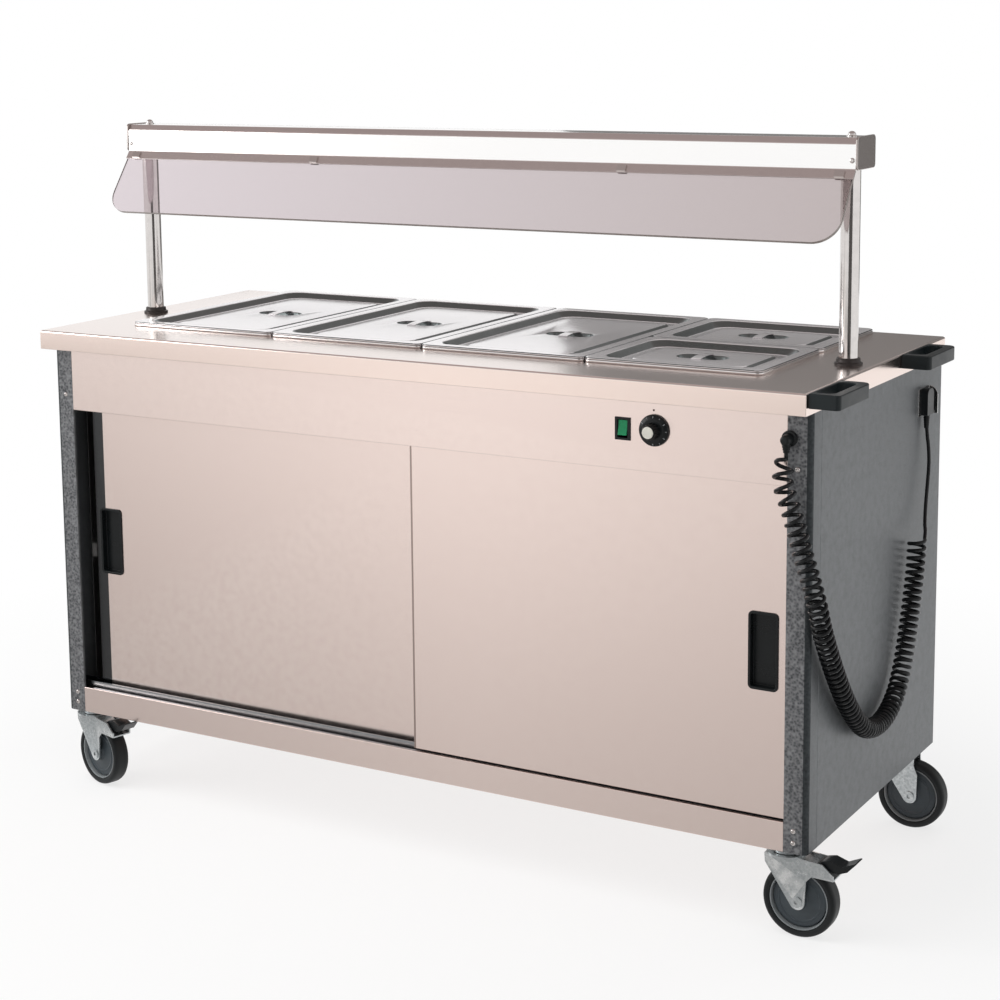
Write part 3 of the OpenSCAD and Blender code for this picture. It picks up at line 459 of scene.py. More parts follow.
evenGrain = (40, 40, 40)  # for pressed sheet, which shows no brushed lines
finishes = {
    "worktop_steel": brushedSteel(
        "worktopSteel", (0.93, 0.84, 0.8), (0.84, 0.75, 0.71), rough=(0.18, 0.26)
    ),
    "panel_steel": brushedSteel("panelSteel", (0.93, 0.79, 0.74), (0.88, 0.745, 0.7), smears=0.05),
    "side_steel": coatedSteel(
        "sideSteel", (0.138, 0.146, 0.152), (0.1, 0.106, 0.112), 900.0, (0.38, 0.5), 0.06
    ),
    "post_finish": coatedSteel(
        "postCoat", (0.21, 0.213, 0.22), (0.03, 0.033, 0.038), 230.0, (0.4, 0.6), 0.3
    ),
    "liner_steel": brushedSteel(
        "linerSteel", (0.6, 0.6, 0.6), (0.45, 0.45, 0.45), rough=(0.3, 0.45)
    ),
    "pan_steel": brushedSteel(
        "panSteel", (0.8, 0.79, 0.78), (0.66, 0.65, 0.65), (60, 60, 60), (0.16, 0.26)
    ),
    "lid_steel": brushedSteel(
        "lidSteel", (0.86, 0.83, 0.84), (0.8, 0.77, 0.78), evenGrain, (0.12, 0.2), metallic=0.6
    ),
    "gantry_steel": brushedSteel(
        "gantrySteel", (0.99, 0.98, 0.97), (0.95, 0.94, 0.93), rough=(0.12, 0.2)
    ),
    "tube_steel": brushedSteel(
        "tubeSteel", (0.72, 0.69, 0.67), (0.6, 0.57, 0.56), (900, 900, 6), (0.08, 0.14)
    ),
    "track_aluminium": brushedSteel("trackMetal", (0.78, 0.8, 0.84), (0.64, 0.66, 0.7)),
    # the screen glass is lighter at its left end than at its right: painted reflection
    "glass": clearGlass("screenGlass", (0.76, 0.69, 0.72), 0.0, (0.52, 0.46, 0.455)),
    "black_plastic": moulding("blackPlastic", (0.007, 0.009, 0.01), (0.25, 0.4)),
    "rocker_green": moulding("rockerGreen", (0.003, 0.27, 0.1), (0.2, 0.3), coat=0.15),
    "nylon": moulding("runnerNylon", (0.72, 0.7, 0.66), (0.45, 0.6)),
    "ceramic": moulding("glazedCeramic", (0.74, 0.72, 0.67), (0.2, 0.35)),
    "quartz": clearGlass("quartzTube", (0.95, 0.9, 0.82), 0.15),
    "element_sheath": moulding("heaterSheath", (0.09, 0.08, 0.075), (0.5, 0.7), metallic=0.7),
    "cord_rubber": moulding("leadRubber", (0.006, 0.007, 0.008), (0.2, 0.34), relief=0.05),
    "handle_rubber": moulding(
        "handleRubber", (0.012, 0.017, 0.019), (0.3, 0.42), scale=600.0, relief=0.2
    ),
    "zinc_plate": coatedSteel(
        "zincPlate", (0.55, 0.58, 0.59), (0.38, 0.41, 0.42), 220.0, (0.25, 0.4), 0.04, 0.9
    ),
    "wheel_rubber": moulding(
        "wheelRubber", (0.006, 0.008, 0.009), (0.4, 0.55), scale=500.0, relief=0.2
    ),
    # Looks of single faces and small pieces, which take their slot from the list above
    "wheelGrey": moulding("wheelGrey", (0.055, 0.068, 0.078), (0.3, 0.45)),
    # the wheels' outer ring is painted light grey: a painted highlight on its moulded edge
    "paintedRimHighlight": moulding("paintedRimHighlight", (0.27, 0.29, 0.3), (0.35, 0.5)),
    "dialWhite": moulding("dialWhite", (0.8, 0.78, 0.7), (0.4, 0.5)),
    "dialGrey": moulding("dialGrey", (0.42, 0.43, 0.45), (0.4, 0.5)),
    # painted shade: the dark band on the left door where it mirrors the corner post
    "edgeShade": brushedSteel("edgeShade", (0.085, 0.088, 0.09), (0.06, 0.062, 0.065)),
    # painted shadow in the seam where the right door overlaps the left
    "seamShade": brushedSteel("seamShade", (0.42, 0.34, 0.31), (0.36, 0.29, 0.27)),
    "capGrey": brushedSteel("capGrey", (0.55, 0.5, 0.48), (0.46, 0.42, 0.4)),
    # painted shade for the hood's lip and upper slope
    "hoodShade": brushedSteel("hoodShade", (0.74, 0.68, 0.665), (0.68, 0.63, 0.615)),
    # a painted peach highlight on the worktop's turned-down edge
    "paintedEdgeHighlight": brushedSteel(
        "paintedEdgeHighlight", (0.95, 0.8, 0.735), (0.87, 0.73, 0.67), rough=(0.18, 0.26)
    ),
    # painted shade on the lids' sloping walls
    "pressedShade": brushedSteel("pressedShade", (0.2, 0.22, 0.22), (0.13, 0.15, 0.15), evenGrain),
    # painted shade in the bend of the corner posts
    "paintedBendShade": coatedSteel(
        "paintedBendShade", (0.035, 0.042, 0.046), (0.018, 0.022, 0.025), 230.0, (0.4, 0.6), 0.2
    ),
    # painted shade on the door track under the doors
    "paintedTrackShade": brushedSteel("paintedTrackShade", (0.33, 0.35, 0.37), (0.25, 0.27, 0.28)),
    "paneEdge": moulding("paneEdge", (0.34, 0.3, 0.28), (0.25, 0.35)),
    "footDark": moulding("footDark", (0.05, 0.042, 0.04), (0.3, 0.4), metallic=0.5),
    "markBrown": moulding("markBrown", (0.1, 0.06, 0.05), (0.4, 0.6)),
}

slotOf = {part["node"]: part["material_slot"] for part in frame["record"]["subparts"]}
bodies = frame["record"]["behaviour"]["bodies"]
bodyOf = {node: body for body, nodes in bodies.items() for node in nodes}
# the door track under the doors takes a darker copy of its metal: painted shade
plainLooks = {**slotOf, "lower_door_track": "paintedTrackShade"}
for node, piece in frame["nodes"].items():
    piece.data.materials.clear()
    piece.data.materials.append(finishes[plainLooks[node]])

# Making pieces
print("tools for pieces")
merge = 1e-6  # points nearer than this are one


def newObject(name, bm):
    mesh = bpy.data.meshes.new(name)
    bm.to_mesh(mesh)
    bm.free()
    piece = bpy.data.objects.new(name, mesh)
    scene.collection.objects.link(piece)
    return piece


def addPiece(name, bm, slot, body, nodes=(), look=None, sharp=35):
    bmesh.ops.remove_doubles(bm, verts=bm.verts, dist=merge)
    for edge in bm.edges:
        turn = edge.calc_face_angle(0) if len(edge.link_faces) == 2 else 0
        edge.smooth = turn <= math.radians(sharp)
    for face in bm.faces:
        face.smooth = True
    piece = newObject(name, bm)
    piece.data.materials.append(finishes[look or slot])
    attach(piece, body)
    if nodes:
        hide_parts(*nodes)
    return piece


sheetEdge = 0.0004  # radius left on the cut edge of thin sheet


def roundEdges(piece, width, segments=3, angle=35):
    rounding = piece.modifiers.new("roundedEdges", "BEVEL")
    rounding.width = width
    rounding.segments = segments
    rounding.limit_method = "ANGLE"
    rounding.angle_limit = math.radians(angle)
    rounding.harden_normals = True
    rounding.use_clamp_overlap = True
    return piece


def thicken(piece, wall):
    sheet = piece.modifiers.new("sheet", "SOLIDIFY")
    sheet.thickness = wall
    sheet.offset = -1
    return piece


def copyOf(node):
    bm = bmesh.new()
    bm.from_mesh(frame["nodes"][node].data)
    bmesh.ops.remove_doubles(bm, verts=bm.verts, dist=merge)
    bmesh.ops.dissolve_limit(bm, angle_limit=math.radians(0.5), verts=bm.verts, edges=bm.edges)
    bm.normal_update()
    return bm


# A copy of a solid with its corners broken, as folding and moulding leave them
def soften(node, name, width, segments=3):
    piece = addPiece(name, copyOf(node), slotOf[node], bodyOf[node], [node])
    return roundEdges(piece, width, segments)


# Rounds the inner corners of a run of points; each point ends with the reach of its bend
def eased(points, steps=4):
    line = []
    for i, point in enumerate(points):
        place, bend = point[:-1], point[-1]
        if bend == 0 or i in (0, len(points) - 1):
            line.append(place)
            continue
        ends = []
        for near in (points[i - 1][:-1], points[i + 1][:-1]):
            span = max(abs(q - p) for p, q in zip(place, near))
            share = min(bend / span, 0.5)
            ends.append([p + (q - p) * share for p, q in zip(place, near)])
        for k in range(steps + 1):
            t = k / steps
            line.append(tuple(
                (1 - t) ** 2 * a + 2 * t * (1 - t) * p + t * t * b
                for a, p, b in zip(ends[0], place, ends[1])
            ))
    return line


def drawLine(bm, points):
    line = [bmesh.ops.create_vert(bm, co=point)["vert"][0] for point in points]
    return line, [bm.edges.new(pair) for pair in zip(line, line[1:])]


# Spins a profile of (radius, height) points into a closed or open shape about the z axis
def turned(profile, steps=64, closed=False):
    bm = bmesh.new()
    line, edges = drawLine(bm, [(radius, 0, height) for radius, height in profile])
    if closed:
        edges.append(bm.edges.new((line[-1], line[0])))
    bmesh.ops.spin(bm, geom=line + edges, cent=(0, 0, 0), axis=(0, 0, 1), angle=2 * math.pi,
                   steps=steps, use_merge=True)
    bmesh.ops.remove_doubles(bm, verts=bm.verts, dist=merge)
    bmesh.ops.recalc_face_normals(bm, faces=bm.faces)
    return bm


# Places of upright parts, and of parts whose own height stands out of the front
def upright(place):
    return Matrix.Translation(at(*place))


def outOfFront(place):
    return upright(place) @ rotation(90, "X")


# One mesh from several parts, each taken to its place
def joined(*parts):
    bm = bmesh.new()
    for part, place in parts:
        bmesh.ops.transform(part, matrix=place, verts=part.verts)
        mesh = bpy.data.meshes.new("joined")
        part.to_mesh(mesh)
        part.free()
        bm.from_mesh(mesh)
        bpy.data.meshes.remove(mesh)
    return bm


# One rounded rectangle, as a face
def outline(halfX, halfY, radius, height, steps=8):
    bm = bmesh.new()
    made = bmesh.ops.create_grid(bm, x_segments=1, y_segments=1, size=1.0)["verts"]
    bmesh.ops.scale(bm, vec=(halfX, halfY, 1), verts=made)
    bmesh.ops.translate(bm, vec=(0, 0, height), verts=made)
    bmesh.ops.bevel(bm, geom=made, offset=radius, offset_type="OFFSET", segments=steps, profile=0.5,
                    affect="VERTICES", material=-1)
    return bm


# Moves a run of points from one rounded rectangle to the next
def reshape(verts, old, new):
    for vert in verts:
        signs = (math.copysign(1, vert.co.x), math.copysign(1, vert.co.y))
        for k in (0, 1):
            bend = vert.co[k] - signs[k] * (old[k] - old[2])
            vert.co[k] = signs[k] * (new[k] - new[2]) + bend * new[2] / old[2]
        vert.co.z = new[3]


# A skin through rounded rectangles of (half x, half y, corner radius, height), closed at the last
def pressed(rings):
    bm = outline(*rings[0])
    bmesh.ops.delete(bm, geom=bm.faces[:], context="FACES_ONLY")
    edges = bm.edges[:]
    for old, new in zip(rings, rings[1:]):
        made = bmesh.ops.extrude_edge_only(bm, edges=edges)["geom"]
        verts = {item for item in made if isinstance(item, bmesh.types.BMVert)}
        edges = [item for item in made
                 if isinstance(item, bmesh.types.BMEdge) and verts.issuperset(item.verts)]
        reshape(verts, old, new)
    floor = bmesh.ops.edgeloop_fill(bm, edges=edges)["faces"][0]
    bmesh.ops.recalc_face_normals(bm, faces=bm.faces)
    if floor.normal.z < 0:
        bmesh.ops.reverse_faces(bm, faces=bm.faces)
    return bm


# The skin of a lid or pan, whose outer rings start with their inset from the solid's box
def pressedSkin(node, outer, inner=()):
    low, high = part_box(node)
    middle, half = (low + high) / 2, (high - low) / 2
    rings = [(half.x - inset, half.y - inset, *rest) for inset, *rest in outer]
    bm = pressed(eased([*rings, *inner]))
    bmesh.ops.translate(bm, vec=(middle.x, middle.y, topHeight), verts=bm.verts)
    return bm, middle


# A strip of sheet folded along x, its profile given as (y, z, reach of the bend)
def folded(profile, left, right):
    bm = bmesh.new()
    edges = drawLine(bm, [(left, y, z) for y, z in eased(profile)])[1]
    made = bmesh.ops.extrude_edge_only(bm, edges=edges)["geom"]
    moved = [item for item in made if isinstance(item, bmesh.types.BMVert)]
    bmesh.ops.translate(bm, vec=(right - left, 0, 0), verts=moved)
    bmesh.ops.recalc_face_normals(bm, faces=bm.faces)
    if max(bm.faces, key=lambda face: face.calc_center_median().z).normal.z < 0:
        bmesh.ops.reverse_faces(bm, faces=bm.faces)
    return bm


def boxBetween(bm, low, high):
    made = bmesh.ops.create_cube(bm, size=1.0)["verts"]
    bmesh.ops.scale(bm, vec=Vector(high) - Vector(low), verts=made)
    bmesh.ops.translate(bm, vec=(Vector(high) + Vector(low)) / 2, verts=made)
    return made


def asTitle(words):
    return words.title().replace("_", "")


# Folded sheet metal and mouldings, kept in the shape of their solids: name and edge radius
print("sheet metal and mouldings")
softened = {
    "control_fascia": ("fasciaPanel", 0.0012),
    "base_tray": ("frontRail", 0.0012),
    "left_door_pull": ("leftPull", 0.001),
    "right_door_pull": ("rightPull", 0.001),
    "push_handles": ("handleLoops", 0.0095, 6),
    "gantry_end_caps": ("gantryCaps", 0.0014),
    "glass_clips": ("paneClips", 0.0008),
    "switch_housing": ("switchBezel", 0.0006),
    "rocker_switch": ("rockerKey", 0.0008),
    "mains_plug": ("plugBody", 0.003),
    "plug_holder": ("plugClip", 0.0004),
    "left_end_panel": ("leftSide", 0.001),
    "right_end_panel": ("rightSide", 0.001),
    "castor_plates": ("castorMounts", 0.0008),
    **{"castor_fork_" + name: ("fork" + asTitle(name), 0.0009)
       for name in ("left_front", "right_front", "left_rear", "right_rear")},
    "brake_lever_left": ("pedalLeft", 0.0012),
    "brake_lever_right": ("pedalRight", 0.0012),
}
softPieces = {node: soften(node, *values) for node, values in softened.items()}
softPieces["gantry_end_caps"].data.materials[0] = finishes["capGrey"]


# Faces that a test picks by their normal get the next look on the piece
def markFaces(bm, *tests):
    bm.normal_update()
    for face in bm.faces:
        for index, chosen in enumerate(tests, 1):
            if chosen(face.normal):
                face.material_index = index


# Further looks, added behind the first because clearing the list would lose the faces' marks
def addLooks(piece, *looks):
    for look in looks:
        piece.data.materials.append(finishes[look])
    return piece


# Softened copies with looks on marked faces: the worktop's turned-down edge is brushed along its
# length and carries a painted peach highlight, and the corner posts are hammered in front, plain at
# the side and carry painted shade in the bend
marked = {
    "worktop": {
        "name": "worktopSheet", "radius": 0.0014, "looks": ["paintedEdgeHighlight"],
        "tests": [lambda normal: abs(normal.z) < 0.3],  # upright faces
    },
    "front_posts": {
        "name": "cornerPosts", "radius": 0.0012, "looks": ["side_steel", "paintedBendShade"],
        "tests": [
            lambda normal: abs(normal.x) > 0.98,  # sides
            # the bend between front and side takes painted shade
            lambda normal: 0.1 < abs(normal.x) <= 0.98 and normal.y < -0.1,  # bend
        ],
    },
}
for node, values in marked.items():
    bm = copyOf(node)
    markFaces(bm, *values["tests"])
    piece = addPiece(values["name"], bm, slotOf[node], bodyOf[node], [node])
    roundEdges(addLooks(piece, *values["looks"]), values["radius"])

# Door leaves: a band of painted shade beside the left pull, where the door mirrors the dark corner
# post, and a painted shadow along the seam where the doors overlap
print("doors")
doors = {
    # the left door's band is painted shade, for the dark corner post it mirrors
    "left_door": {"name": "leftDoorLeaf", "edge": 0.024, "look": "edgeShade"},
    # the right door's narrow band is a painted shadow along the seam
    "right_door": {"name": "rightDoorLeaf", "edge": 0.004, "look": "seamShade"},
}
doorRadius = 0.0014
for node, values in doors.items():
    bm = copyOf(node)
    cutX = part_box(node)[0].x + values["edge"]
    whole = bm.verts[:] + bm.edges[:] + bm.faces[:]
    bmesh.ops.bisect_plane(bm, geom=whole, plane_co=(cutX, 0, 0), plane_no=(1, 0, 0))
    bm.normal_update()
    # front faces left of the cut take the door's band of painted shade
    for face in bm.faces:
        if face.normal.y < -0.9 and face.calc_center_median().x < cutX:
            face.material_index = 1
    leaf = addPiece(values["name"], bm, "panel_steel", bodyOf[node], [node])
    roundEdges(addLooks(leaf, values["look"]), doorRadius)

# Gantry hood: one folded sheet, with a slanted lip before the glass and a hem behind
print("gantry")
hood = {
    "inset": 0.022,  # from either end of the worktop
    "front": 0.258,
    "foot": 1.232,
    "sheet": 0.002,
    # distance behind the front face, height over the foot, reach of the bend
    "profile": [
        (-0.0106, -0.0145, 0), (0.0, 0.0, 0.0015), (0.0, 0.041, 0.002),
        (0.008, 0.051, 0.002), (0.072, 0.051, 0.002), (0.08, 0.041, 0.002),
        (0.08, 0.002, 0.0015), (0.087, 0.002, 0),
    ],
}
front = at(0, hood["front"], hood["foot"])
bm = folded([(front.y + back, front.z + up, bend) for back, up, bend in hood["profile"]],
            corner.x + hood["inset"], corner.x + topLength - hood["inset"])
# the lip and the upper slope take a darker copy of the hood's steel: painted shade
markFaces(bm, lambda normal: normal.y < -0.3 and abs(normal.z) > 0.2)  # lip and upper slope
gantryHood = addPiece("gantryHood", bm, "gantry_steel", "root", ["gantry_housing"], sharp=30)
roundEdges(thicken(addLooks(gantryHood, "hoodShade"), hood["sheet"]), sheetEdge, 2, 60)

# Glass pane: its ground edges have their own look
bm = copyOf("glass_screen")
broad = max(bm.faces, key=lambda face: face.calc_area()).normal.copy()
for face in bm.faces:
    face.material_index = int(abs(face.normal.dot(broad)) < 0.9)
addLooks(addPiece("screenPane", bm, "glass", "root", ["glass_screen"]), "paneEdge")

# Feet and top nuts of the gantry's posts
postEnds = {
    "inset": 0.044,  # from either end of the worktop
    "back": 0.298,
    "nutHeight": 1.283,
    # radius, height over the foot, reach of the bend
    "foot": [
        (0.0158, 0.0, 0), (0.0238, 0.0, 0), (0.024, 0.0035, 0.0012),
        (0.0205, 0.0045, 0.001), (0.0198, 0.011, 0.0012), (0.0162, 0.012, 0.001),
        (0.0158, 0.012, 0),
    ],
    "nut": [
        (0.0, 0.0, 0), (0.0088, 0.0, 0), (0.009, 0.0018, 0.0005),
        (0.0068, 0.0022, 0.0005), (0.0062, 0.0058, 0.002), (0.0035, 0.0084, 0.002),
        (0.0, 0.009, 0),
    ],
}


def makePostEnds(name, part, steps, height, look):
    bm = joined(*[(turned(eased(postEnds[part], 3), steps), upright((x, postEnds["back"], height)))
                  for x in (postEnds["inset"], topLength - postEnds["inset"])])
    addPiece(name, bm, "tube_steel", "root", ["post_fixings"], look=look)


makePostEnds("postFeet", "foot", 48, topHeight, "footDark")
makePostEnds("postNuts", "nut", 32, postEnds["nutHeight"], "tube_steel")

# Pressed lids: rim, sloping wall, sunk panel with a raised middle, finger pocket and strap
print("lids")
lids = {
    "nodes": ("lid_1", "lid_2", "lid_3", "half_lid_rear", "half_lid_front"),
    "wall": 0.001,
    # inset from the rim, corner radius, height over the worktop, reach of the bend
    "skirt": [
        (0.0, 0.014, 0.0056, 0), (0.0, 0.014, 0.0088, 0.002),
        (0.022, 0.03, 0.0088, 0.004), (0.034, 0.03, -0.0025, 0.004),
        (0.052, 0.026, -0.0025, 0.0035), (0.058, 0.024, 0.0015, 0.0035),
    ],
    # half length, half width, corner radius, height over the worktop, reach of the bend
    "pocket": [(0.046, 0.022, 0.0218, 0.0015, 0.002), (0.042, 0.018, 0.0178, -0.009, 0)],
    "strap": {"width": 0.018, "length": 0.06, "arch": 0.0022, "height": 0.0016, "wall": 0.0012},
}


def makeLid(node):
    bm, middle = pressedSkin(node, lids["skirt"], lids["pocket"])
    # the sloping walls take a darker copy of the lid steel: painted shade
    markFaces(bm, lambda normal: 0.15 < normal.z < 0.94)  # the slopes
    lid = addPiece(node + "Pressing", bm, "lid_steel", bodyOf[node], [node], sharp=60)
    thicken(addLooks(lid, "pressedShade"), lids["wall"])
    strap = lids["strap"]
    bm = bmesh.new()
    made = bmesh.ops.create_grid(bm, x_segments=4, y_segments=16, size=0.5)["verts"]
    for vert in made:
        vert.co.z = strap["arch"] * (1 - 4 * vert.co.y ** 2)
    bmesh.ops.scale(bm, vec=(strap["width"], strap["length"], 1), verts=made)
    height = topHeight + strap["height"] + strap["wall"]
    bmesh.ops.translate(bm, vec=(middle.x, middle.y, height), verts=made)
    piece = thicken(addPiece(node + "Strap", bm, "lid_steel", bodyOf[node]), strap["wall"])
    roundEdges(piece, sheetEdge, 2)


for node in lids["nodes"]:
    makeLid(node)

# Pans: turned-down rim, tapering walls and a rounded floor
print("pans")
pans = {
    "nodes": ("pan_1", "pan_2", "pan_3", "half_pan_rear", "half_pan_front"),
    "wall": 0.001,
    "depth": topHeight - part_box("pan_1")[0].z,
    # inset from the rim, corner radius, height over the worktop, reach of the bend
    "upper": [
        (0.0, 0.012, 0.0002, 0), (0.0, 0.012, 0.005, 0.0016),
        (0.0122, 0.038, 0.005, 0.003), (0.0142, 0.037, 0.0, 0.003),
    ],
    # the same, with heights over the pan's floor
    "lower": [
        (0.0222, 0.033, 0.01, 0.006), (0.034, 0.027, 0.001, 0.006),
        (0.06, 0.02, 0.001, 0),
    ],
}


def makePan(node):
    lower = [(inset, radius, height - pans["depth"], bend)
             for inset, radius, height, bend in pans["lower"]]
    bm = pressedSkin(node, pans["upper"] + lower)[0]
    pan = addPiece(node + "Pressing", bm, "pan_steel", bodyOf[node], [node], sharp=60)
    thicken(pan, pans["wall"])


for node in pans["nodes"]:
    makePan(node)

# Castor wheels: a rubber tyre on a ribbed grey centre, with the ring between them painted light
# grey as a highlight on its moulded edge
print("wheels")
wheels = {
    "turns": {"left_front": -15, "right_front": 0, "left_rear": 0, "right_rear": 0},  # degrees
    # radius, distance from the wheel's middle, reach of the bend: one side, from the bore outwards
    "centre": [
        (0.0063, 0.016, 0), (0.0125, 0.016, 0.001), (0.0145, 0.0105, 0.002),
        (0.034, 0.0085, 0.001), (0.0362, 0.01, 0.0008), (0.0386, 0.0085, 0.001),
        (0.0455, 0.008, 0.0008), (0.0462, 0.0045, 0.0005), (0.0472, 0.0045, 0),
    ],
    "rim": [
        (0.0472, 0.0045, 0), (0.048, 0.0138, 0.0006), (0.05, 0.0142, 0.0006),
        (0.0505, 0.01, 0),
    ],
    "tyre": [
        (0.0505, 0.01, 0), (0.0508, 0.015, 0.001), (0.056, 0.0162, 0.0015),
        (0.0608, 0.0145, 0.002), (0.0625, 0.0095, 0.002), (0.0625, 0.004, 0),
    ],
}


def makeWheel(castor, turn):
    node = "castor_wheel_" + castor
    low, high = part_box(node)
    place = Matrix.Translation((low + high) / 2) @ rotation(turn, "Z") @ rotation(90, "X")
    # the rim's light grey look is a painted highlight
    for part, look in (("centre", "wheelGrey"), ("rim", "paintedRimHighlight"), ("tyre", "wheel_rubber")):
        side = eased(wheels[part], 3)
        profile = side + [(radius, -across) for radius, across in reversed(side)]
        bm = joined((turned(profile, 72, closed=True), place))
        name = "wheel" + part.title() + asTitle(castor)
        addPiece(name, bm, "wheel_rubber", bodyOf[node], [node], look=look, sharp=40)


for castor, turn in wheels["turns"].items():
    makeWheel(castor, turn)

# Thermostat knob: skirt, fluted grip, pale cap and the marks round the skirt
print("knob")
knob = {
    "place": (1.276, 0.036, 0.818),
    # radius, height off the panel, reach of the bend
    "skirt": [
        (0.0, 0.001, 0), (0.0262, 0.001, 0), (0.0265, 0.003, 0.001),
        (0.0258, 0.005, 0.001), (0.019, 0.008, 0.0012), (0.0, 0.008, 0),
    ],
    "grip": [
        (0.0, 0.007, 0), (0.0142, 0.007, 0), (0.0137, 0.009, 0.001),
        (0.0125, 0.0252, 0.001), (0.0112, 0.026, 0.0006), (0.0, 0.026, 0),
    ],
    "cap": [
        (0.0, 0.0255, 0), (0.0098, 0.0255, 0), (0.01, 0.0266, 0.0006),
        (0.009, 0.0272, 0.0006), (0.0, 0.027, 0),
    ],
    "flutes": {"count": 12, "depth": 0.12, "inner": 0.01, "foot": 0.0085, "runIn": 0.002},
    # marks on the skirt's slope: their lengths in turn, sizes in metres and angles in degrees
    "marks": {
        "count": 9, "lengths": (0.0036, 0.0022), "width": 0.0008, "thick": 0.0004, "bevel": 0.0001,
        "outer": 0.0242, "pivot": (0, 0.0245, 0.0055), "lean": -21, "from": 60, "span": 240,
    },
}


def flute(grip):
    flutes = knob["flutes"]
    for vert in grip.verts:
        angle = math.atan2(vert.co.y, vert.co.x)
        wave = max(0.0, math.cos(flutes["count"] * angle)) ** 3
        rise = min(1.0, max(0.0, (vert.co.z - flutes["foot"]) / flutes["runIn"]))
        if math.hypot(vert.co.x, vert.co.y) > flutes["inner"]:
            shrink = 1 - flutes["depth"] * wave * rise
            vert.co.x *= shrink
            vert.co.y *= shrink
    return grip


def dialMarks(place):
    marks = knob["marks"]
    pivot = Vector(marks["pivot"])
    slope = (Matrix.Translation(pivot) @ rotation(marks["lean"], "X")
             @ Matrix.Translation((0, -pivot.y, 0)))
    half, outer = marks["width"] / 2, marks["outer"]
    parts = []
    for i in range(marks["count"]):
        mark = bmesh.new()
        inner = outer - marks["lengths"][i % 2]
        boxBetween(mark, (-half, inner, 0.0), (half, outer, marks["thick"]))
        bmesh.ops.bevel(mark, geom=mark.edges[:], offset=marks["bevel"], segments=1, profile=0.5,
                        affect="EDGES", material=-1)
        turn = marks["from"] - marks["span"] * i / (marks["count"] - 1)
        parts.append((mark, place @ rotation(turn, "Z") @ slope))
    return joined(*parts)


def makeKnob():
    place = outOfFront(knob["place"])
    body = bodyOf["thermostat_knob"]
    node = ["thermostat_knob"]
    skirt = joined((turned(eased(knob["skirt"], 3), 72), place))
    grip = joined((flute(turned(eased(knob["grip"], 3), 144)), place))
    cap = joined((turned(eased(knob["cap"], 3), 48), place))
    addPiece("knobSkirt", skirt, "black_plastic", body, node, sharp=50)
    addPiece("knobGrip", grip, "black_plastic", body, node, sharp=50)
    addPiece("knobCap", cap, "black_plastic", body, node, look="dialWhite")
    addPiece("knobMarks", dialMarks(place), "black_plastic", body, look="dialGrey")


makeKnob()

# Index mark on the panel over the knob
indexMark = {
    "place": (1.2747, 0.036, 0.851),
    # radius, height off the panel, reach of the bend
    "profile": [(0.0, 0.0, 0), (0.0017, 0.0, 0), (0.0017, 0.0006, 0.0004), (0.0, 0.0006, 0)],
}
bm = joined((turned(eased(indexMark["profile"], 2), 24), outOfFront(indexMark["place"])))
addPiece("indexMark", bm, "black_plastic", "root", look="markBrown")

# Elbow gland: flange and barrel off the post, ribbed nozzle downwards
print("gland and plug sleeve")
gland = {
    "face": (1.51, 0.036, 0.826),
    "barrel": [
        (0.0, 0.0, 0), (0.0128, 0.0, 0), (0.013, 0.0048, 0.001),
        (0.0092, 0.0052, 0.0008), (0.0088, 0.016, 0.002), (0.0086, 0.0215, 0.003),
        (0.006, 0.0248, 0.003), (0.0, 0.025, 0),
    ],
    "nozzle": {
        "place": lead["exit"],
        "length": 0.02, "ends": (0.0048, 0.0088), "ribs": 5, "groove": 0.0009,
    },
}
sleeve = {
    "place": (1.5555, 0.5595, 0.757),
    "length": 0.025, "ends": (0.0044, 0.006), "ribs": 6, "groove": 0.001,
}
ribBend = 0.0002  # reach of the bend at a rib's edges


# A tapered stem with its ribs, from the end where the lead comes out
def ribbed(stem):
    low, high = stem["ends"]
    profile = [(0.0, 0.0, 0)]
    for i in range(stem["ribs"]):
        for share, deep in ((0.0, 0), (0.55, 0), (0.62, stem["groove"]), (0.93, stem["groove"])):
            t = (i + share) / stem["ribs"]
            profile.append((low + (high - low) * t - deep, stem["length"] * t, ribBend))
    return eased(profile + [(high, stem["length"], 0), (0.0, stem["length"], 0)], 2)


bm = joined((turned(eased(gland["barrel"], 3), 48), outOfFront(gland["face"])),
            (turned(ribbed(gland["nozzle"]), 48), upright(gland["nozzle"]["place"])))
addPiece("elbowGland", bm, "black_plastic", bodyOf["cord_gland"], ["cord_gland"], sharp=50)

bm = joined((turned(ribbed(sleeve), 40), upright(sleeve["place"])))
plugSleeve = addPiece("plugSleeve", bm, "black_plastic", bodyOf["mains_plug"], sharp=50)

mainsLead.data.materials.append(finishes["cord_rubber"])
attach(mainsLead, "root")
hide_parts("mains_cord")

# Screws with a recess in each head
print("screws")
screws = {
    "posts": {"inset": 0.027, "front": 0.036, "heights": (0.777, 0.183, 0.163)},
    "hood": {"inset": 0.028, "front": 0.258, "heights": (1.246,)},
    # radius, height off the sheet, reach of the bend
    "head": [
        (0.0, 0.0009, 0), (0.0013, 0.0009, 0), (0.0015, 0.0022, 0),
        (0.0028, 0.0022, 0.0006), (0.0043, 0.0008, 0.0008), (0.0045, 0.0, 0),
    ],
}
places = [(x, row["front"], z) for row in (screws["posts"], screws["hood"])
          for x in (row["inset"], topLength - row["inset"]) for z in row["heights"]]
bm = joined(*[(turned(eased(screws["head"], 2), 24), outOfFront(place)) for place in places])
addPiece("panelScrewHeads", bm, "tube_steel", "root", ["panel_screws"])

# Studio
print("floor and lights")


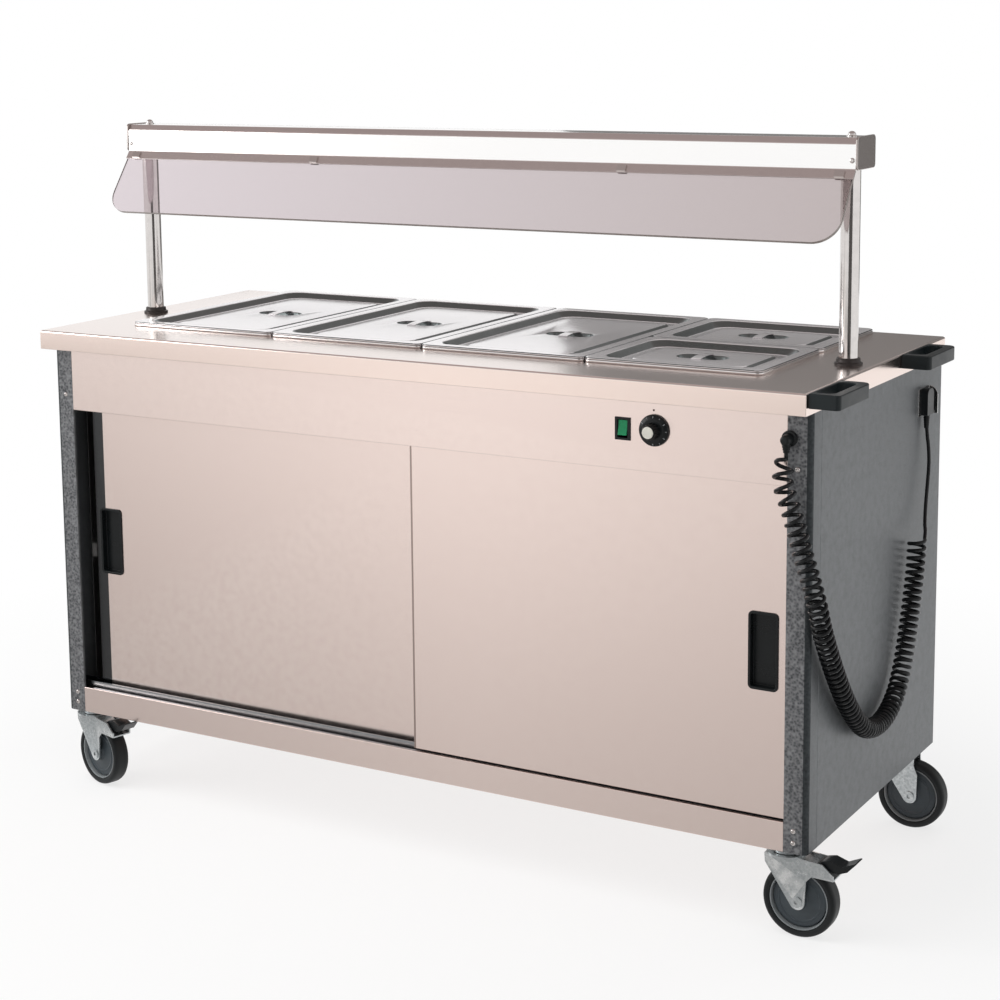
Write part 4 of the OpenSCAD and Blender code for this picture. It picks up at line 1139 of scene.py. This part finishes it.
# One for rays that come straight from the camera, through glass or, if asked, off metal
def seenDirectly(tree, glossyToo=True):
    rays = tree.nodes.new("ShaderNodeLightPath").outputs
    seen = mathNode(tree, "MAXIMUM", rays["Is Camera Ray"], rays["Is Transmission Ray"])
    return mathNode(tree, "MAXIMUM", seen, rays["Is Glossy Ray"]) if glossyToo else seen


# Plain light: an emission on a surface, or a background in the world
def glow(tree, kind, colour=(1, 1, 1), strength=1.0):
    node = tree.nodes.new(kind)
    feed(tree, node.inputs["Color"], colour)
    feed(tree, node.inputs["Strength"], strength)
    return node.outputs[0]


def mixShaders(tree, share, first, second):
    node = tree.nodes.new("ShaderNodeMixShader")
    for socket, value in zip(node.inputs, (share, first, second)):
        tree.links.new(value, socket)
    return node.outputs["Shader"]


# The floor shows white paper to the camera, wholly so from fadeTo metres off the object's middle
floorPaper = {
    "radius": 14.0,
    "colour": (0.9, 0.895, 0.89),
    "roughness": 0.8,
    "paperNear": 0.74,
    "fadeFrom": 0.9,
    "fadeTo": 2.0,
}


def makeFloor():
    bm = bmesh.new()
    bmesh.ops.create_circle(bm, cap_ends=True, segments=64, radius=floorPaper["radius"])
    floor = newObject("floor", bm)
    material, tree, shader = newMaterial("floorWhite")
    shader["Base Color"].default_value = (*floorPaper["colour"], 1)
    shader["Roughness"].default_value = floorPaper["roughness"]
    shader["Specular IOR Level"].default_value = 0.0
    away = tree.nodes.new("ShaderNodeVectorMath")
    away.operation = "LENGTH"
    tree.links.new(coordsOf(tree), away.inputs[0])
    share = mapRange(tree, away.outputs["Value"], floorPaper["fadeFrom"], floorPaper["fadeTo"],
                     floorPaper["paperNear"], 1.0)
    lit = tree.nodes["Principled BSDF"].outputs["BSDF"]
    mixed = mixShaders(tree, mathNode(tree, "MULTIPLY", share, seenDirectly(tree)), lit,
                       glow(tree, "ShaderNodeEmission"))
    tree.links.new(mixed, tree.nodes["Material Output"].inputs["Surface"])
    floor.data.materials.append(material)


# Studio flags that only show as reflections in the metal; turns are in degrees
flags = {
    "flagBehind": {"place": (0.55, 3.2, 1.55), "size": (4.2, 1.9), "turn": 0, "tone": 0.2},
    "flagByCamera": {"place": (2.3, -3.6, 1.3), "size": (2.8, 2.2), "turn": 32, "tone": 0.1},
}
feltColour = (1, 0.97, 0.95)
# Floor in front as the metal mirrors it: darker near the object and to either side
mirroredFloor = {
    "middle": (-1.0, -3.94, 0.003),
    "size": (11.0, 7.12),
    "near": 0.6,  # brightness, and its distance before the worktop's front edge
    "nearAt": 0.3,
    "far": 1.1,
    "farAt": 3.4,
    "axis": 31.0,  # degrees: the camera's direction, from which the sides are measured
    "shift": 0.25,
    "side": 0.55,
    "sideAt": 1.9,
}


def makeCard(name, size, place, tone):
    bm = bmesh.new()
    made = bmesh.ops.create_grid(bm, x_segments=1, y_segments=1, size=0.5)["verts"]
    bmesh.ops.scale(bm, vec=(*size, 1), verts=made)
    bmesh.ops.transform(bm, matrix=place, verts=made)
    card = newObject(name, bm)
    material = bpy.data.materials.new(name)
    material.use_nodes = True
    tree = material.node_tree
    tree.nodes.clear()
    strength = tone(tree) if callable(tone) else tone
    output = tree.nodes.new("ShaderNodeOutputMaterial")
    tree.links.new(glow(tree, "ShaderNodeEmission", feltColour, strength), output.inputs["Surface"])
    card.data.materials.append(material)
    for rays in ("camera", "diffuse", "transmission", "shadow"):
        setattr(card, "visible_" + rays, False)


def floorTone(tree):
    axes = axesOf(tree)
    ahead = mathNode(tree, "MULTIPLY", axes["Y"], -1.0)
    front = -corner.y
    depth = mapRange(tree, ahead, front + mirroredFloor["nearAt"], front + mirroredFloor["farAt"],
                     mirroredFloor["near"], mirroredFloor["far"])
    angle = math.radians(mirroredFloor["axis"])
    across = mathNode(tree, "ADD", mathNode(tree, "MULTIPLY", axes["X"], math.cos(angle)),
                      mathNode(tree, "MULTIPLY", axes["Y"], -math.sin(angle)))
    shifted = mathNode(tree, "SUBTRACT", across, mirroredFloor["shift"])
    aside = mapRange(tree, mathNode(tree, "ABSOLUTE", shifted, 0.0), 0.0, mirroredFloor["sideAt"],
                     1.0, mirroredFloor["side"])
    return mathNode(tree, "MULTIPLY", depth, aside)


def makeCards():
    for name, values in flags.items():
        turn = rotation(values["turn"], "Z") @ rotation(90, "X")
        place = Matrix.Translation(values["place"]) @ turn
        makeCard(name, values["size"], place, values["tone"])
    middle = Matrix.Translation(mirroredFloor["middle"])
    makeCard("mirroredFloor", mirroredFloor["size"], middle, floorTone)


# The world seen by matt surfaces, and overhead by metal, which sees it white up to bandTop
studio = {"diffuse": 0.55, "overhead": (0.42, 0.36, 0.35), "bandTop": 0.3, "bandEnd": 0.62}


def makeWorld():
    world = bpy.data.worlds.new("studio")
    scene.world = world
    world.use_nodes = True
    tree = world.node_tree
    tree.nodes.clear()
    path = tree.nodes.new("ShaderNodeLightPath")
    kind = "ShaderNodeBackground"
    rise = mapRange(tree, axesOf(tree, "Generated")["Z"], studio["bandTop"], studio["bandEnd"])
    soft = glow(tree, kind, strength=studio["diffuse"])
    mirrored = glow(tree, kind, mixColour(tree, rise, (1.0, 1.0, 1.0), studio["overhead"]))
    glossy = mixShaders(tree, path.outputs["Is Glossy Ray"], soft, mirrored)
    direct = mixShaders(tree, seenDirectly(tree, glossyToo=False), glossy, glow(tree, kind))
    output = tree.nodes.new("ShaderNodeOutputWorld")
    tree.links.new(direct, output.inputs["Surface"])


lamps = {
    "overheadSoftbox": {
        "place": (-0.6, -1.2, 3.4), "aim": (0, 0, 0.7), "size": 2.6, "power": 50, "mirrored": False,
    },
    "leftSoftbox": {
        "place": (-3.2, -2.2, 1.9), "aim": (0, 0, 0.6), "size": 1.8, "power": 38, "mirrored": True,
    },
    "backSoftbox": {
        "place": (1.2, 3.0, 2.6), "aim": (0, 0, 0.6), "size": 2.0, "power": 20, "mirrored": False,
    },
}


def makeLamps():
    for name, values in lamps.items():
        data = bpy.data.lights.new(name, "AREA")
        data.size = values["size"]
        data.energy = values["power"]
        lamp = bpy.data.objects.new(name, data)
        lamp.location = values["place"]
        aim = Vector(values["aim"]) - Vector(values["place"])
        lamp.rotation_euler = aim.to_track_quat("-Z", "Y").to_euler()
        lamp.visible_glossy = values["mirrored"]
        lamp.visible_transmission = False
        scene.collection.objects.link(lamp)


makeFloor()
makeCards()
makeWorld()
makeLamps()
scene.view_settings.view_transform = "Standard"

print("done")
